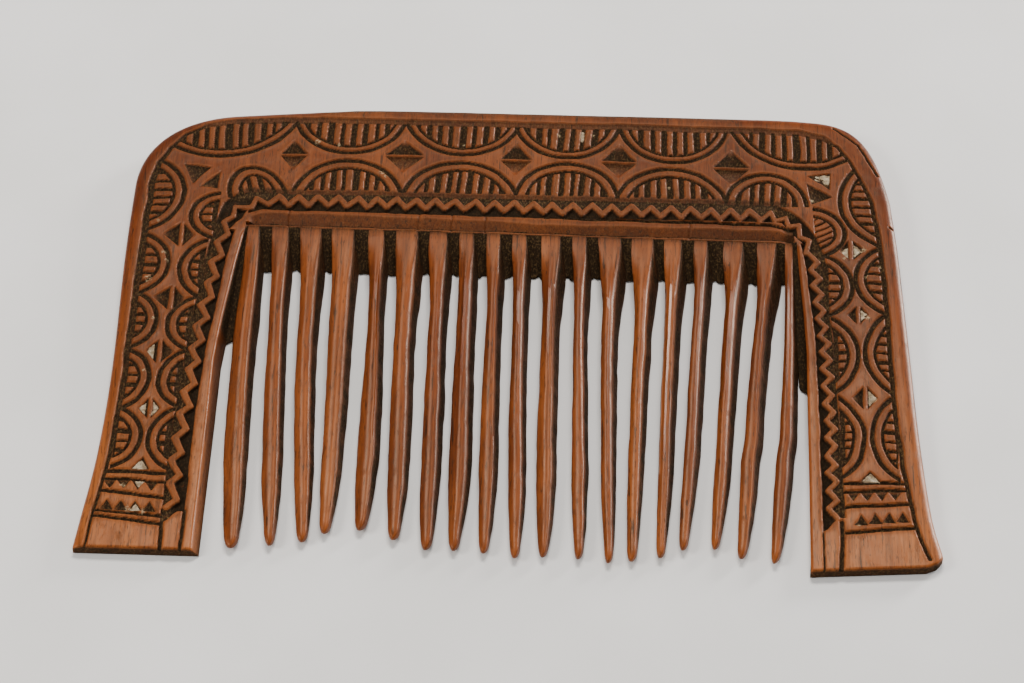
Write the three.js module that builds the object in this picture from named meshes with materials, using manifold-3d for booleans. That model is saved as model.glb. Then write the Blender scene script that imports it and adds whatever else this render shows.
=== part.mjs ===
// Carved wooden hair comb: one board with a curved crown, two guards and nineteen teeth,
// and the remains of lime that once filled its chip carving. Millimetres, +Z up.
// The comb lies on its back: X runs across it, the teeth point towards -Y, the carving faces +Z.
import * as THREE from 'three';
import { mergeVertices } from 'three/addons/utils/BufferGeometryUtils.js';
import Module from 'manifold-3d';

const wasm = await Module();
wasm.setup();

// ---- driving dimensions ----
const THICKNESS = 5; // board at the crown
const FOOT_THICKNESS = 2.4; // front to back at the ends of the guards
const SHOULDER_Y = 28.5; // front edge of the saw-cut floors, where teeth and guards begin
const KERF_FLOOR_Y = 21; // back edge of the same floors
const FEET_Y = -50.8; // end of the left guard, and the length the thinning is worked out over
const KERF_SLANT = 1.2; // sideways lean of every saw cut from front to back
const RIM_WIDTH = 2.3; // rounded front edge of the outline
const RIM_DEPTH = 1;
const CARVING_DEPTH = 0.7;
const BORDER_DEPTH = 0.8; // sunk band that frames the teeth
const FILL_POCKET = 0.9;
const FILL_THICKNESS = 0.55;
const CORNER_STEPS = 8;
const SIDE_STEPS = 9;
const RUNOUT_Y = -58; // the raw board runs past the feet before it is cut to length
const TOOTH_STEPS = 7;
const OVERCUT = 1;

// Outer edge of the two guards, crown upwards.
const LEFT_SIDE = [[-81.5, -50.8], [-80.8, -44], [-79.3, -28.5], [-78.8, -8], [-79.4, 20], [-79.4, 40]];
const RIGHT_SIDE = [[76.5, 40], [77.6, 25], [78.8, 0.8], [79.8, -20], [81.3, -38], [83, -47]];

// Inner edge of each guard at the front face.
const LEFT_INNER_X = -58.8;
const RIGHT_INNER_X = 58.2;

// Each tooth, left to right: root x, tip x, tip y, sideways bow, then the width at the root,
// the neck, the belly and the tip.
const TEETH = [
  [-53.8, -51.7, -49.5, -1.2, 2.4, 3.7, 4.1, 1.4],
  [-48.4, -44.4, -48.7, -0.7, 3.2, 3.0, 3.6, 1.1],
  [-42.2, -38.2, -47.7, -0.9, 4.2, 3.3, 3.4, 1.3],
  [-35.6, -34.1, -45.6, -0.1, 4.5, 4.0, 3.5, 1.2],
  [-28.8, -27.4, -44.6, 0.1, 3.0, 2.7, 4.0, 1.2],
  [-22.5, -21.0, -46.6, -0.3, 4.4, 3.6, 3.7, 1.2],
  [-16.1, -14.8, -48.7, -0.2, 3.6, 3.0, 3.4, 1.2],
  [-10.3, -9.4, -48.7, -0.1, 2.9, 2.9, 3.8, 1.1],
  [-4.8, -3.8, -49.1, -0.2, 2.7, 2.4, 3.1, 1.1],
  [0.5, 2.2, -50.0, -0.5, 2.9, 2.5, 3.1, 1.1],
  [6.9, 7.5, -49.6, -0.5, 4.0, 3.0, 3.5, 1.0],
  [12.7, 14.2, -49.8, -0.4, 2.9, 2.2, 2.9, 1.0],
  [18.9, 19.9, -50.5, -0.7, 4.6, 2.6, 2.6, 1.0],
  [25.6, 24.1, -50.0, -0.3, 4.2, 3.0, 2.7, 1.1],
  [31.8, 29.6, -49.0, -0.2, 3.4, 2.4, 2.4, 1.0],
  [37.5, 33.9, -47.1, 0.0, 2.6, 2.2, 2.5, 1.0],
  [44.1, 39.9, -46.7, -0.1, 4.0, 3.0, 2.8, 1.0],
  [50.9, 44.9, -48.7, -0.3, 3.8, 2.5, 3.0, 1.0],
  [55.4, 51.2, -49.5, 0.7, 1.6, 2.1, 3.0, 1.0],
];
const NECK_AT = 0.22; // share of the tooth's length
const BELLY_AT = 0.72;
const TIP_LIFT = 0.28; // height of a tip's back edge, as a share of its front's

// Carved half rounds, each as the middle of its flat side, half width and rise.
const CROWN_UPPER = [[-66, 59.5, 17.5, 11.5], [-36.2, 58.3, 10.2, 8.2], [-12.3, 58.3, 10.8, 7.8],
  [9.6, 58.3, 9.8, 8], [31.8, 58.3, 10.3, 8.6], [57.5, 59.5, 12, 10.5]];
const CROWN_LOWER = [[-54, 39, 6.2, 8.6], [-35.9, 40, 10.4, 8.4], [-12.5, 40, 11.6, 8.2],
  [9.9, 40, 10.2, 8.7], [31.4, 40, 10.6, 7.8], [51, 39, 7.9, 7.8]];
const LEFT_OUTER = [[-75.4, 37.3, 9.4, 6.5], [-75.6, 18.5, 7.6, 5.2], [-75.6, 3.9, 6.6, 4.4],
  [-75.8, -10.7, 7, 4.7], [-76.2, -25, 6.8, 4.9]];
const LEFT_INNER = [[-62.2, 32, 5.8, 4.7], [-63.8, 17.6, 7.3, 4.2], [-64.6, 3.4, 6.4, 4.3],
  [-65.3, -10.6, 6.6, 4], [-65.9, -25, 6.7, 4]];
const RIGHT_OUTER = [[73.4, 39.6, 11.6, 7.2], [74, 19.2, 8.2, 5.4], [74.8, 0.6, 9.6, 4.9],
  [75.3, -20.2, 9.6, 4.7]];
const RIGHT_INNER = [[62.1, 31.2, 6.1, 4.8], [63.1, 17.4, 7.6, 4.9], [64.1, -0.2, 9, 4.6],
  [64.9, -20.4, 9.3, 4.3]];
const LUNETTE_LINE = 2; // width of the raised line between groove and hatched field
const ARC_STEPS = 4;

// Chip-carved lozenges: middle, half width, half height.
const CROWN_LOZENGES = [[-47.3, 49.3, 2.9, 4.3], [-24.1, 49.6, 4.1, 4.6], [-0.8, 49.3, 3.4, 4.5],
  [20.5, 49.4, 3.9, 4.7], [43.9, 48.5, 3.8, 4.9]];
const LEFT_LOZENGES = [[-68.9, 26.1, 3.3, 3.2], [-69.2, 9.7, 3.1, 3.1], [-69.8, -3.9, 3, 3.2],
  [-70.3, -17.9, 2.3, 2.7]];
const RIGHT_LOZENGES = [[68, 26.6, 2.7, 2.7], [68.9, 10.1, 2.3, 2.5], [69.6, -10.7, 2.7, 3]];
const LOZENGE_RIDGE = 0.35;

const CORNER_CHIPS = [
  [[-69.8, 45.6], [-67.6, 40.2], [-64, 45.2]],
  [[-66, 39.6], [-62, 39.2], [-62, 44.2]],
  [[59.3, 45], [60.2, 38.7], [64.8, 41]],
];

// What is left of the lime, each as the outline of its pocket, counter-clockwise.
const CROWN_LIME = {
  lime_crown_corner: [[59.5, 46.8], [64.3, 42.8], [64.5, 47.8]],
  lime_crown_hatch: [[12.2, 55.2], [13.3, 55.2], [13.2, 58], [12.2, 58]],
};
const LEFT_LIME = {
  lime_left_lozenge_outer: [[-72.8, -3.9], [-70.8, -6], [-70.8, -1.8]],
  lime_left_lozenge_inner: [[-70.1, -20.4], [-68.3, -17.9], [-70.1, -15.6]],
  lime_left_lozenge_low: [[-72.5, -17.9], [-71, -19.6], [-71, -16.4]],
  lime_left_half_lozenge: [[-72.3, -32.6], [-69, -32.6], [-70.5, -30.1]],
  lime_left_foot_upper: [[-71.4, -35.4], [-70.3, -37], [-69.2, -35.4]],
  lime_left_foot_lower: [[-71.7, -42.4], [-69.3, -42.4], [-70.5, -40.5]],
};
const RIGHT_LIME = {
  lime_right_lozenge_top_outer: [[68.4, 24.8], [70.3, 26.8], [68.4, 28.6]],
  lime_right_lozenge_top_inner: [[65.6, 26], [67.6, 24.6], [67.6, 27.8]],
  lime_right_lozenge_middle: [[69.4, 8.4], [71, 10.1], [69.4, 11.6]],
  lime_right_lozenge_low: [[70.2, -12.8], [72, -10.7], [70.2, -8.6]],
  lime_right_half_lozenge: [[68, -31], [72, -31], [70, -28.5]],
};

// Border round the teeth: middle line, direction across it, and number of half turns of the zigzag.
const BORDER_HALF_WIDTH = 2.2;
const ZIGZAG_LINE = 0.55; // half the width of the raised zigzag
const ZIGZAG_REACH = 1.4;
const TOP_BORDER = { path: [[-57.5, 36.4], [57, 36.4]], across: [0, 1], turns: 56 };
const LEFT_BORDER = { path: [[-59.7, 28.5], [-63.5, -42.5]], across: [1, 0], turns: 26 };
const RIGHT_BORDER = { path: [[60.2, 28.5], [62.9, -39.5]], across: [1, 0], turns: 33 };

// Rail between the border and the teeth, set off by a groove on each side.
const RAIL_GROOVES = [29.6, 33.9];
const RAIL_GROOVE = 0.5;
const GROOVE_TOP = THICKNESS + 0.1; // just clear of the face
const RAIL_ENDS = [-54.5, 55];

// Cross grooves of the feet, as the heights of their left and right ends.
const FOOT_GROOVE = 0.3;
const LEFT_FOOT_GROOVES = [[-33.1, -33.1], [-34.6, -35.3], [-37.9, -39.2], [-43, -44]];
const RIGHT_FOOT_GROOVES = [[-31.2, -31.2], [-33.3, -32.5], [-36.9, -35.7], [-41.6, -40.9]];

// Webs beside the guards, where the outermost saw cuts run out before they go right through:
// the web's two sides, its height at the saw-cut floor, and where it ends.
const LEFT_WEB = [-58.2, -56.4, 3.5, 1.5];
const RIGHT_WEB = [57.5, 59.2, 4.5, -8];
const CLEARANCE = 0.3; // keeps the saw-cut floors inside the guards

const WOOD = { color: 0x8a4a26, roughness: 0.45, metalness: 0 };
const LIME = { color: 0xd9cfb8, roughness: 0.9, metalness: 0 };

const LEFT_GUARD = {
  innerX: LEFT_INNER_X,
  footEnd: [[LEFT_INNER_X, FEET_Y], [-100, FEET_Y]],
  web: LEFT_WEB,
  grooves: LEFT_FOOT_GROOVES,
  grooveEnds: [-77.5, -65.5],
  lime: LEFT_LIME,
};
const RIGHT_GUARD = {
  innerX: RIGHT_INNER_X,
  footEnd: [[RIGHT_INNER_X - 0.4, -52.1], [80.4, -50.1], [82, -49.2], [100, -38]],
  web: RIGHT_WEB,
  grooves: RIGHT_FOOT_GROOVES,
  grooveEnds: [65, 79],
  lime: RIGHT_LIME,
};

// ---- solids ----
const vectors = (points) => points.map(([x, y]) => new THREE.Vector2(x, y));

function solid(geometry) {
  const bare = geometry.clone();
  bare.deleteAttribute('normal');
  bare.deleteAttribute('uv');
  const merged = mergeVertices(bare, 1e-4);
  const vertProperties = merged.attributes.position.array;
  const triVerts = new Uint32Array(merged.index.array);
  return new wasm.Manifold(new wasm.Mesh({ numProp: 3, vertProperties, triVerts }));
}

function surface(manifold) {
  const mesh = manifold.getMesh();
  const geometry = new THREE.BufferGeometry();
  geometry.setAttribute('position', new THREE.BufferAttribute(mesh.vertProperties, 3));
  geometry.setIndex(new THREE.BufferAttribute(mesh.triVerts, 1));
  geometry.computeVertexNormals();
  return geometry;
}

function prism(shape, bottom, top) {
  const options = { depth: top - bottom, bevelEnabled: false, curveSegments: ARC_STEPS };
  return new THREE.ExtrudeGeometry(shape, options).translate(0, 0, bottom);
}

const polygon = (points, bottom, top) => solid(prism(new THREE.Shape(vectors(points)), bottom, top));

// A prism along X whose outline is given as y, z points.
function crossBar(points, fromX, toX) {
  const shape = new THREE.Shape(vectors(points));
  const geometry = new THREE.ExtrudeGeometry(shape, { depth: toX - fromX, bevelEnabled: false });
  geometry.applyMatrix4(new THREE.Matrix4().set(0, 0, 1, fromX, 1, 0, 0, 0, 0, 1, 0, 0, 0, 0, 0, 1));
  return solid(geometry);
}

function movePoints(geometry, move) {
  const position = geometry.attributes.position;
  const point = new THREE.Vector3();
  for (let i = 0; i < position.count; i += 1) {
    move(point.fromBufferAttribute(position, i));
    position.setXYZ(i, point.x, point.y, point.z);
  }
  geometry.computeVertexNormals();
  return geometry;
}

// Thickness below the shoulder, as a share of the crown's.
function thinning(y) {
  const down = Math.max(0, (SHOULDER_Y - y) / (SHOULDER_Y - FEET_Y));
  return 1 - down * (1 - FOOT_THICKNESS / THICKNESS);
}

const thinned = (geometry) => movePoints(geometry, (p) => {
  p.z *= thinning(p.y);
});

// ---- the raw board with its rounded front rim ----
function boardOutline() {
  const corner = (points) => new THREE.CubicBezierCurve(...vectors(points)).getPoints(CORNER_STEPS);
  const side = (points) => new THREE.SplineCurve(vectors(points)).getPoints(SIDE_STEPS).slice(1, -1);
  const crest = side([[-60, 60.4], [-40, 62.4], [-28, 63.1], [10, 63.2], [50, 63.2], [60, 62.8]]);
  return new THREE.Shape([
    ...vectors([[-82.2, RUNOUT_Y], LEFT_SIDE[0]]),
    ...side(LEFT_SIDE),
    ...corner([LEFT_SIDE.at(-1), [-79.2, 50], [-73.5, 58.8], [-60, 60.4]]),
    ...crest,
    ...corner([[60, 62.8], [69.4, 62.4], [73.6, 58], RIGHT_SIDE[0]]),
    ...side(RIGHT_SIDE),
    ...vectors([RIGHT_SIDE.at(-1), [83.4, RUNOUT_Y]]),
  ]);
}

function rawBoard() {
  const board = new THREE.ExtrudeGeometry(boardOutline(), {
    depth: THICKNESS - RIM_DEPTH,
    bevelThickness: RIM_DEPTH,
    bevelSize: RIM_WIDTH,
    bevelOffset: -RIM_WIDTH,
    bevelSegments: 2,
  });
  const behind = polygon([[-100, -100], [100, -100], [100, 100], [-100, 100]], -2 * RIM_DEPTH, 0);
  return solid(board).subtract(behind);
}

// ---- carving, cut before the guards are thinned ----
function halfRound(x, y, rx, ry, turn) {
  const shape = new THREE.Shape();
  shape.absellipse(0, 0, rx, ry, 0, Math.PI, false, 0);
  shape.closePath();
  const cutter = prism(shape, THICKNESS - CARVING_DEPTH, THICKNESS + OVERCUT);
  return solid(cutter.rotateZ(turn).translate(x, y, 0));
}

// A groove round the arch, a raised line inside it, and the sunk field that holds the hatching.
function lunette(board, [x, y, half, rise], turn) {
  const line = LUNETTE_LINE / 2;
  const arch = halfRound(x, y, half, rise, turn);
  const inside = halfRound(x, y, half - line, rise - line, turn);
  const field = halfRound(x, y, half - 2 * line, rise - 2 * line, turn);
  return board.subtract(arch.subtract(inside)).subtract(field);
}

const chip = (points, depth = CARVING_DEPTH) => polygon(points, THICKNESS - depth, THICKNESS + OVERCUT);

// Two triangular cuts with a ridge between them. On the crown the ridge runs along X.
function crownLozenge(board, [x, y, half, rise]) {
  const up = y + LOZENGE_RIDGE;
  const low = y - LOZENGE_RIDGE;
  const upper = chip([[x - half, up], [x + half, up], [x, y + rise]]);
  const lower = chip([[x - half, low], [x, y - rise], [x + half, low]]);
  return board.subtract(upper).subtract(lower);
}

// On the guards the ridge runs along Y.
function guardLozenge(board, [x, y, half, rise]) {
  const left = x - LOZENGE_RIDGE;
  const right = x + LOZENGE_RIDGE;
  const leftCut = chip([[left, y - rise], [left, y + rise], [x - half, y]]);
  const rightCut = chip([[right, y - rise], [x + half, y], [right, y + rise]]);
  return board.subtract(leftCut).subtract(rightCut);
}

function carveCrown(board) {
  let cut = board;
  for (const one of CROWN_UPPER) cut = lunette(cut, one, Math.PI);
  for (const one of CROWN_LOWER) cut = lunette(cut, one, 0);
  for (const one of CROWN_LOZENGES) cut = crownLozenge(cut, one);
  for (const points of CORNER_CHIPS) cut = cut.subtract(chip(points));
  return cut;
}

function carveGuards(board) {
  const quarter = Math.PI / 2;
  let cut = board;
  for (const one of [...LEFT_OUTER, ...RIGHT_INNER]) cut = lunette(cut, one, -quarter);
  for (const one of [...LEFT_INNER, ...RIGHT_OUTER]) cut = lunette(cut, one, quarter);
  for (const one of [...LEFT_LOZENGES, ...RIGHT_LOZENGES]) cut = guardLozenge(cut, one);
  return cut;
}

// A strip along a path, as wide as twice halfWidth in the direction across.
function sideways(path, [acrossX, acrossY], offset) {
  return path.map(([x, y]) => [x + acrossX * offset, y + acrossY * offset]);
}

function strip(path, across, halfWidth, bottom, top) {
  const near = sideways(path, across, -halfWidth);
  const far = sideways(path, across, halfWidth).reverse();
  return polygon([...near, ...far], bottom, top);
}

function zigzagPath([from, to], across, reach, turns) {
  const path = [];
  for (let k = 0; k <= turns; k += 1) {
    const t = k / turns;
    const offset = k % 2 ? reach : -reach;
    path.push([
      from[0] + (to[0] - from[0]) * t + across[0] * offset,
      from[1] + (to[1] - from[1]) * t + across[1] * offset,
    ]);
  }
  return path;
}

// The sunk band that frames the teeth, with the zigzag line left standing in it.
function border(board, { path, across, turns }) {
  const floor = THICKNESS - BORDER_DEPTH;
  const channel = strip(path, across, BORDER_HALF_WIDTH, floor, THICKNESS + OVERCUT);
  const line = zigzagPath(path, across, ZIGZAG_REACH, turns);
  const ridge = strip(line, across, ZIGZAG_LINE, floor - OVERCUT, THICKNESS);
  return board.subtract(channel.subtract(ridge));
}

// ---- wooden sub-parts ----
const aboveShoulder = [[-100, SHOULDER_Y], [100, SHOULDER_Y], [100, 100], [-100, 100]];

// Triangular bar between the crown and the saw cuts: its slope is the floor of every cut.
function kerfFloors() {
  const outline = [[KERF_FLOOR_Y, 0], [SHOULDER_Y, 0], [SHOULDER_Y, THICKNESS]];
  return crossBar(outline, LEFT_INNER_X + KERF_SLANT + CLEARANCE, RIGHT_INNER_X - CLEARANCE);
}

function crown(board) {
  let cut = board.intersect(polygon(aboveShoulder, -OVERCUT, THICKNESS + OVERCUT));
  for (const y of RAIL_GROOVES) {
    const bottom = [y, THICKNESS - RAIL_GROOVE];
    const groove = [[y - RAIL_GROOVE, GROOVE_TOP], bottom, [y + RAIL_GROOVE, GROOVE_TOP]];
    cut = cut.subtract(crossBar(groove, ...RAIL_ENDS));
  }
  return pocket(cut.add(kerfFloors()), CROWN_LIME);
}

// A guard's share of the board: the inner wall leans with the saw cuts.
function guardBlank(board, innerX, footEnd) {
  const inner = Math.sign(innerX) * 100;
  const outline = [[innerX, SHOULDER_Y], ...footEnd, [inner, SHOULDER_Y]];
  const shape = new THREE.Shape(vectors(outline));
  const lean = movePoints(prism(shape, -OVERCUT, THICKNESS + OVERCUT), (p) => {
    p.x += KERF_SLANT * (1 - p.z / THICKNESS);
  });
  const block = solid(lean);
  return board.intersect(block);
}

function webBar([fromX, toX, top, runoutY]) {
  const topY = KERF_FLOOR_Y + (SHOULDER_Y - KERF_FLOOR_Y) * top / THICKNESS;
  return crossBar([[runoutY, 0], [KERF_FLOOR_Y, 0], [topY, top]], fromX, toX);
}

function footGrooves(board, grooves, fromX, toX) {
  return grooves.reduce((cut, [leftY, rightY]) => {
    const outline = [[fromX, leftY - FOOT_GROOVE], [toX, rightY - FOOT_GROOVE],
      [toX, rightY + FOOT_GROOVE], [fromX, leftY + FOOT_GROOVE]];
    return cut.subtract(chip(outline));
  }, board);
}

const pocket = (board, fills) => Object.values(fills)
  .reduce((cut, points) => cut.subtract(chip(points, FILL_POCKET)), board);

function guard(board, { innerX, footEnd, web, grooves, grooveEnds, lime }) {
  const blank = guardBlank(board, innerX, footEnd);
  const cut = pocket(footGrooves(blank, grooves, ...grooveEnds), lime);
  return surface(solid(thinned(surface(cut))).add(webBar(web)));
}

// ---- teeth ----
// The share of the way through the four widths that belongs to v, the share of the length.
function widthShare(v) {
  if (v < NECK_AT) return v / NECK_AT;
  if (v < BELLY_AT) return 1 + (v - NECK_AT) / (BELLY_AT - NECK_AT);
  return 2 + (v - BELLY_AT) / (1 - BELLY_AT);
}

function widthAt(v, widths) {
  const curve = new THREE.SplineCurve(widths.map((width, i) => new THREE.Vector2(i, width)));
  return curve.getPoint(widthShare(v) / (widths.length - 1)).y;
}

// Section of a tooth: flat back, upright walls, bevelled front. u runs across, w from back to front.
const TOOTH_SECTION = [[-1, 0], [1, 0], [1, 0.72], [0.36, 1], [-0.36, 1], [-1, 0.72]];

function tooth([rootX, tipX, tipY, bow, ...widths]) {
  const bar = new THREE.ExtrudeGeometry(new THREE.Shape(vectors(TOOTH_SECTION)), {
    depth: 1,
    steps: TOOTH_STEPS,
    bevelEnabled: false,
  });
  return movePoints(bar, (p) => {
    const { x: u, y: w, z: v } = p;
    const lift = TIP_LIFT * v ** 3;
    const height = THICKNESS * (lift + w * (1 - lift));
    const rootY = KERF_FLOOR_Y + (SHOULDER_Y - KERF_FLOOR_Y) * w;
    const y = rootY + (tipY - rootY) * v;
    const middle = rootX + (tipX - rootX) * v + bow * Math.sin(Math.PI * v);
    const lean = KERF_SLANT * (1 - w) * (1 - v ** 4);
    const thin = 1 - v * (1 - thinning(tipY));
    p.set(middle + u * widthAt(v, widths) / 2 + lean, y, height * thin);
  });
}

// ---- assembly ----
const comb = new THREE.Group();
const wood = new THREE.MeshStandardMaterial(WOOD);
const lime = new THREE.MeshStandardMaterial(LIME);

function add(name, geometry, material) {
  const mesh = new THREE.Mesh(geometry, material);
  mesh.name = name;
  comb.add(mesh);
}

function addLime(fills, finish) {
  const bottom = THICKNESS - FILL_POCKET;
  for (const [name, points] of Object.entries(fills)) {
    const shape = new THREE.Shape(vectors(points));
    add(name, finish(prism(shape, bottom, bottom + FILL_THICKNESS)), lime);
  }
}

const BORDERS = [TOP_BORDER, LEFT_BORDER, RIGHT_BORDER];
const board = BORDERS.reduce(border, carveGuards(carveCrown(rawBoard())));
add('spine', surface(crown(board)), wood);
add('left_guard', guard(board, LEFT_GUARD), wood);
add('right_guard', guard(board, RIGHT_GUARD), wood);
TEETH.forEach((spec, i) => add(`tooth_${String(i + 1).padStart(2, '0')}`, tooth(spec), wood));
addLime(CROWN_LIME, (geometry) => geometry);
addLime(LEFT_LIME, thinned);
addLime(RIGHT_LIME, thinned);

// The origin is the middle of the comb's box, on the surface it lies on.
const box = new THREE.Box3().setFromObject(comb, true);
const middle = box.getCenter(new THREE.Vector3());
comb.position.set(-middle.x, -middle.y, -box.min.z);

export default comb;
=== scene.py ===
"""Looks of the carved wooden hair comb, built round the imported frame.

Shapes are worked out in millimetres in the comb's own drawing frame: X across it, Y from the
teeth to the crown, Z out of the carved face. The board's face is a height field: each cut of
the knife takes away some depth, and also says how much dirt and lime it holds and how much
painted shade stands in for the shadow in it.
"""
import math

import bpy
import numpy as np
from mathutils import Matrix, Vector


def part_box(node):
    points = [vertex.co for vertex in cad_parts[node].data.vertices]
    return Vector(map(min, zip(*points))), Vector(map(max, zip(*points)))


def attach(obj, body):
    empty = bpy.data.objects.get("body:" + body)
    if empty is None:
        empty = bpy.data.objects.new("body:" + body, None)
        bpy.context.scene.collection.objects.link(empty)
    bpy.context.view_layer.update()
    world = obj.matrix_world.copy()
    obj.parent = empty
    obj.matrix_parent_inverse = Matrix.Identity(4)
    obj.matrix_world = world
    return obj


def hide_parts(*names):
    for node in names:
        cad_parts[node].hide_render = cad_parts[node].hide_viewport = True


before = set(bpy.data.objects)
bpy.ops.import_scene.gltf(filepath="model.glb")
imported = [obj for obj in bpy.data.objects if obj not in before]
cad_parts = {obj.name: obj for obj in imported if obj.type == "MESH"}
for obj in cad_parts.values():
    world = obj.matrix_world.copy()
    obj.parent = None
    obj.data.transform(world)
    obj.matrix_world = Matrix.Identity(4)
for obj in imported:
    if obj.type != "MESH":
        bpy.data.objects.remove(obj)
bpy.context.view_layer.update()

MM = 0.001

# ---- driving dimensions, mm ----
THICKNESS = 5.0
FOOT_THICKNESS = 2.4
FACE_Z = 4.93  # mean height of the worn face at the crown
SHOULDER_Y = 28.5  # joints between the crown and the guards
FEET_Y = -50.8
KERF_FLOOR_Y = 21.0  # far end of the slanted saw-cut floors
KERF_END_Z = 0.25  # their height there
KERF_Z = 4.4  # their height under the rail
KERF_SLANT = 1.2  # how far right the sawn walls lean from front to back
RIM_WIDTH = 2.3
RIM_DROP = 1.0
BACK_INSET = 0.45  # rounding of the outer edge on the back
LEFT_SEAM_X = -55.6  # inner ends of the joints between the crown and the guards
RIGHT_SEAM_X = 57.0

# ---- how finely it is meshed ----
GUARD_ROW_STEP = 0.18
GUARD_COLUMNS = 132
MIDDLE_COLUMNS = 580
CROWN_ROWS = 180
KERF_ROWS = 26
TOOTH_RINGS = 92
NOSE_RINGS = 10
BACK_SHADE = 0.25  # dirt on the rounded part of the back's edge

# ---- places and sizes of what is drawn and carved, mm ----

LEFT_SIDE = [(-81.5, -50.8), (-80.8, -44), (-79.3, -28.5), (-78.8, -8), (-79.4, 20), (-79.4, 40)]
LEFT_CORNER = [(-79.4, 40), (-79.2, 50), (-73.5, 58.8), (-60, 60.4)]
CREST = [(-60, 60.4), (-40, 62.4), (-28, 63.1), (10, 63.2), (50, 63.2), (60, 62.8)]
RIGHT_CORNER = [(60, 62.8), (69.4, 62.4), (73.6, 58), (76.5, 40)]
RIGHT_SIDE = [(76.5, 40), (77.6, 25), (78.8, 0.8), (79.8, -20), (81.3, -38), (83, -47), (83.1, -49)]
LEFT_MITRE_Y = 53.6  # heights where the patch that covers the crown turns its corners
RIGHT_MITRE_Y = 58.2

# Front edge of each guard beside the teeth, as x at a few heights.
LEFT_EDGE = {"y": (-50.8, -20, -5, 5, 20, 28.5), "x": (-58.8, -58.8, -58.9, -58.2, -56.7, -55.6)}
RIGHT_EDGE = {"y": (-52.1, -30, -10, 0, 10, 20, 28.5), "x": (58.0, 58.2, 58.3, 58.4, 58.0, 57.4, 57.0)}
# End of each foot, as y at some distances from the outer edge.
LEFT_FOOT = ((0, 30), (FEET_Y, FEET_Y))
RIGHT_FOOT = ((0, 1.0, 2.6, 25.2), (-47.5, -49.2, -50.1, -52.1))
# Web at the foot of each guard's sawn wall: its height, y of its top, y where it runs out, reach.
LEFT_WEB = (3.6, 26.5, 1.6, 2.9)
RIGHT_WEB = (4.4, 27.7, -8, 2.4)

# Half rounds: middle of the flat side, half width, rise.
CROWN_UPPER = [(-63, 60.5, 16.3, 12.2), (-36, 58.8, 11.3, 8.7), (-12.3, 58.8, 11.6, 8.3),
               (9.6, 58.8, 10.7, 8.5), (31.8, 58.8, 11.1, 9.1), (59, 60, 15, 11.2)]
CROWN_LOWER = [(-53.4, 37, 6, 8.3), (-35.5, 39.8, 11, 8.1), (-12.3, 39.8, 11.5, 8.3),
               (9.9, 39.8, 10.6, 8.7), (31.4, 39.8, 11, 7.9), (51, 38.2, 8.3, 8.6)]
LEFT_OUTER = [(-75.8, 37.3, 9.8, 6.8), (-75.6, 18.5, 7.6, 5.2), (-75.6, 3.9, 6.8, 4.4),
              (-75.8, -10.7, 7.1, 4.7), (-76.2, -25, 7.1, 4.9)]
LEFT_INNER = [(-61.6, 31.8, 6, 5.3), (-63.2, 17.6, 7.4, 4.8), (-64.2, 3.4, 6.6, 4.7),
              (-64.9, -10.6, 6.8, 4.4), (-65.5, -25, 6.9, 4.3)]
RIGHT_OUTER = [(73.6, 40, 12, 7.4), (74.2, 19, 8.4, 5.6), (74.8, 0.5, 9.8, 4.9),
               (75.3, -20.2, 9.8, 4.7)]
RIGHT_INNER = [(60.9, 31.2, 6.3, 5.9), (62.4, 17.4, 7.8, 5.5), (63.8, -0.2, 9.2, 4.8),
               (64.6, -20.4, 9.5, 4.5)]

# Chip-carved lozenges. Crown: middle, half width, rise above and below a level ridge.
CROWN_LOZENGES = [(-47.3, 49.3, 3.0, 4.2, 4.6), (-24.2, 49.6, 4.2, 4.5, 4.8), (-0.9, 49.3, 3.4, 4.8, 4.4),
                  (20.5, 49.4, 3.9, 4.9, 4.6), (43.9, 48.4, 3.9, 5.2, 4.8)]
# Guards: middle, reach to the left and right of an upright ridge, half height.
GUARD_LOZENGES = [(-68.4, 26.2, 4, 2.9, 3.3), (-68.9, 9.7, 3.7, 2.9, 3.2), (-69.8, -3.9, 3, 3, 3.2),
                  (-70.2, -17.9, 2.6, 2.1, 2.7), (67.9, 26.6, 2.6, 3, 2.8), (68.9, 10, 2.4, 2.3, 2.5),
                  (69.6, -10.7, 2.8, 2.6, 3.0)]
CHIPS = [[(-69.8, 45.6), (-67.6, 40.2), (-64, 45.2)], [(-66, 39.6), (-62, 39.2), (-62, 44.2)],
         [(59.5, 46.8), (64.3, 42.8), (64.5, 47.8)], [(59.3, 45), (60.2, 38.7), (64.8, 41)],
         [(-72.9, -32.8), (-68.4, -32.8), (-70.3, -29.5)], [(67.7, -31.1), (72.3, -31.1), (70, -28.2)]]

# Middle line of the groove that follows the outline, from the left foot round to the right one.
BORDER = [(-79.3, -53), (-78.6, -44), (-77.9, -39), (-77.3, -34.5), (-76.8, -29.5), (-76.4, -20),
          (-76.1, -10), (-76.1, 10), (-76.2, 20), (-76, 30), (-75.9, 40), (-75, 46), (-73.2, 50.2),
          (-70.2, 54.2), (-66, 56.7), (-60, 58.3), (-50, 59.0), (-40, 59.3), (0, 59.4), (40, 59.3),
          (58, 59), (63, 57.7), (66, 55.2), (68.5, 51), (71, 45), (72.6, 39.5), (73.3, 34), (73.8, 28),
          (74.3, 20), (74.7, 10), (74.9, 0), (75.2, -10), (75.6, -19), (76, -24), (76.5, -29),
          (77.1, -34), (78, -39.5), (79.2, -44.5), (80.5, -48.4)]

GROOVE_DEPTH = 0.6
# Painted shade: how much darker the dust in a groove is painted for the shadow in its depth.
GROOVE_SHADE = 0.35
ARC_HALF = 0.62  # half width of the groove round a half round
INNER_HALF = 0.42  # half width of the groove inside it, and of the one above the rail
HATCH_DEPTH = 0.6
HATCH_FLANK = 0.3  # width of the slope at the edge of a hatched field
CHIP_SLOPE = 1.6  # steepness of the walls of chips and lozenges
BAND_DEPTH = 0.75
BAND_FLANK = 0.4  # width of the slope at the band's edges
ZIGZAG_HALF = 0.44
ZIGZAG_FLANK = 0.34

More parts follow.
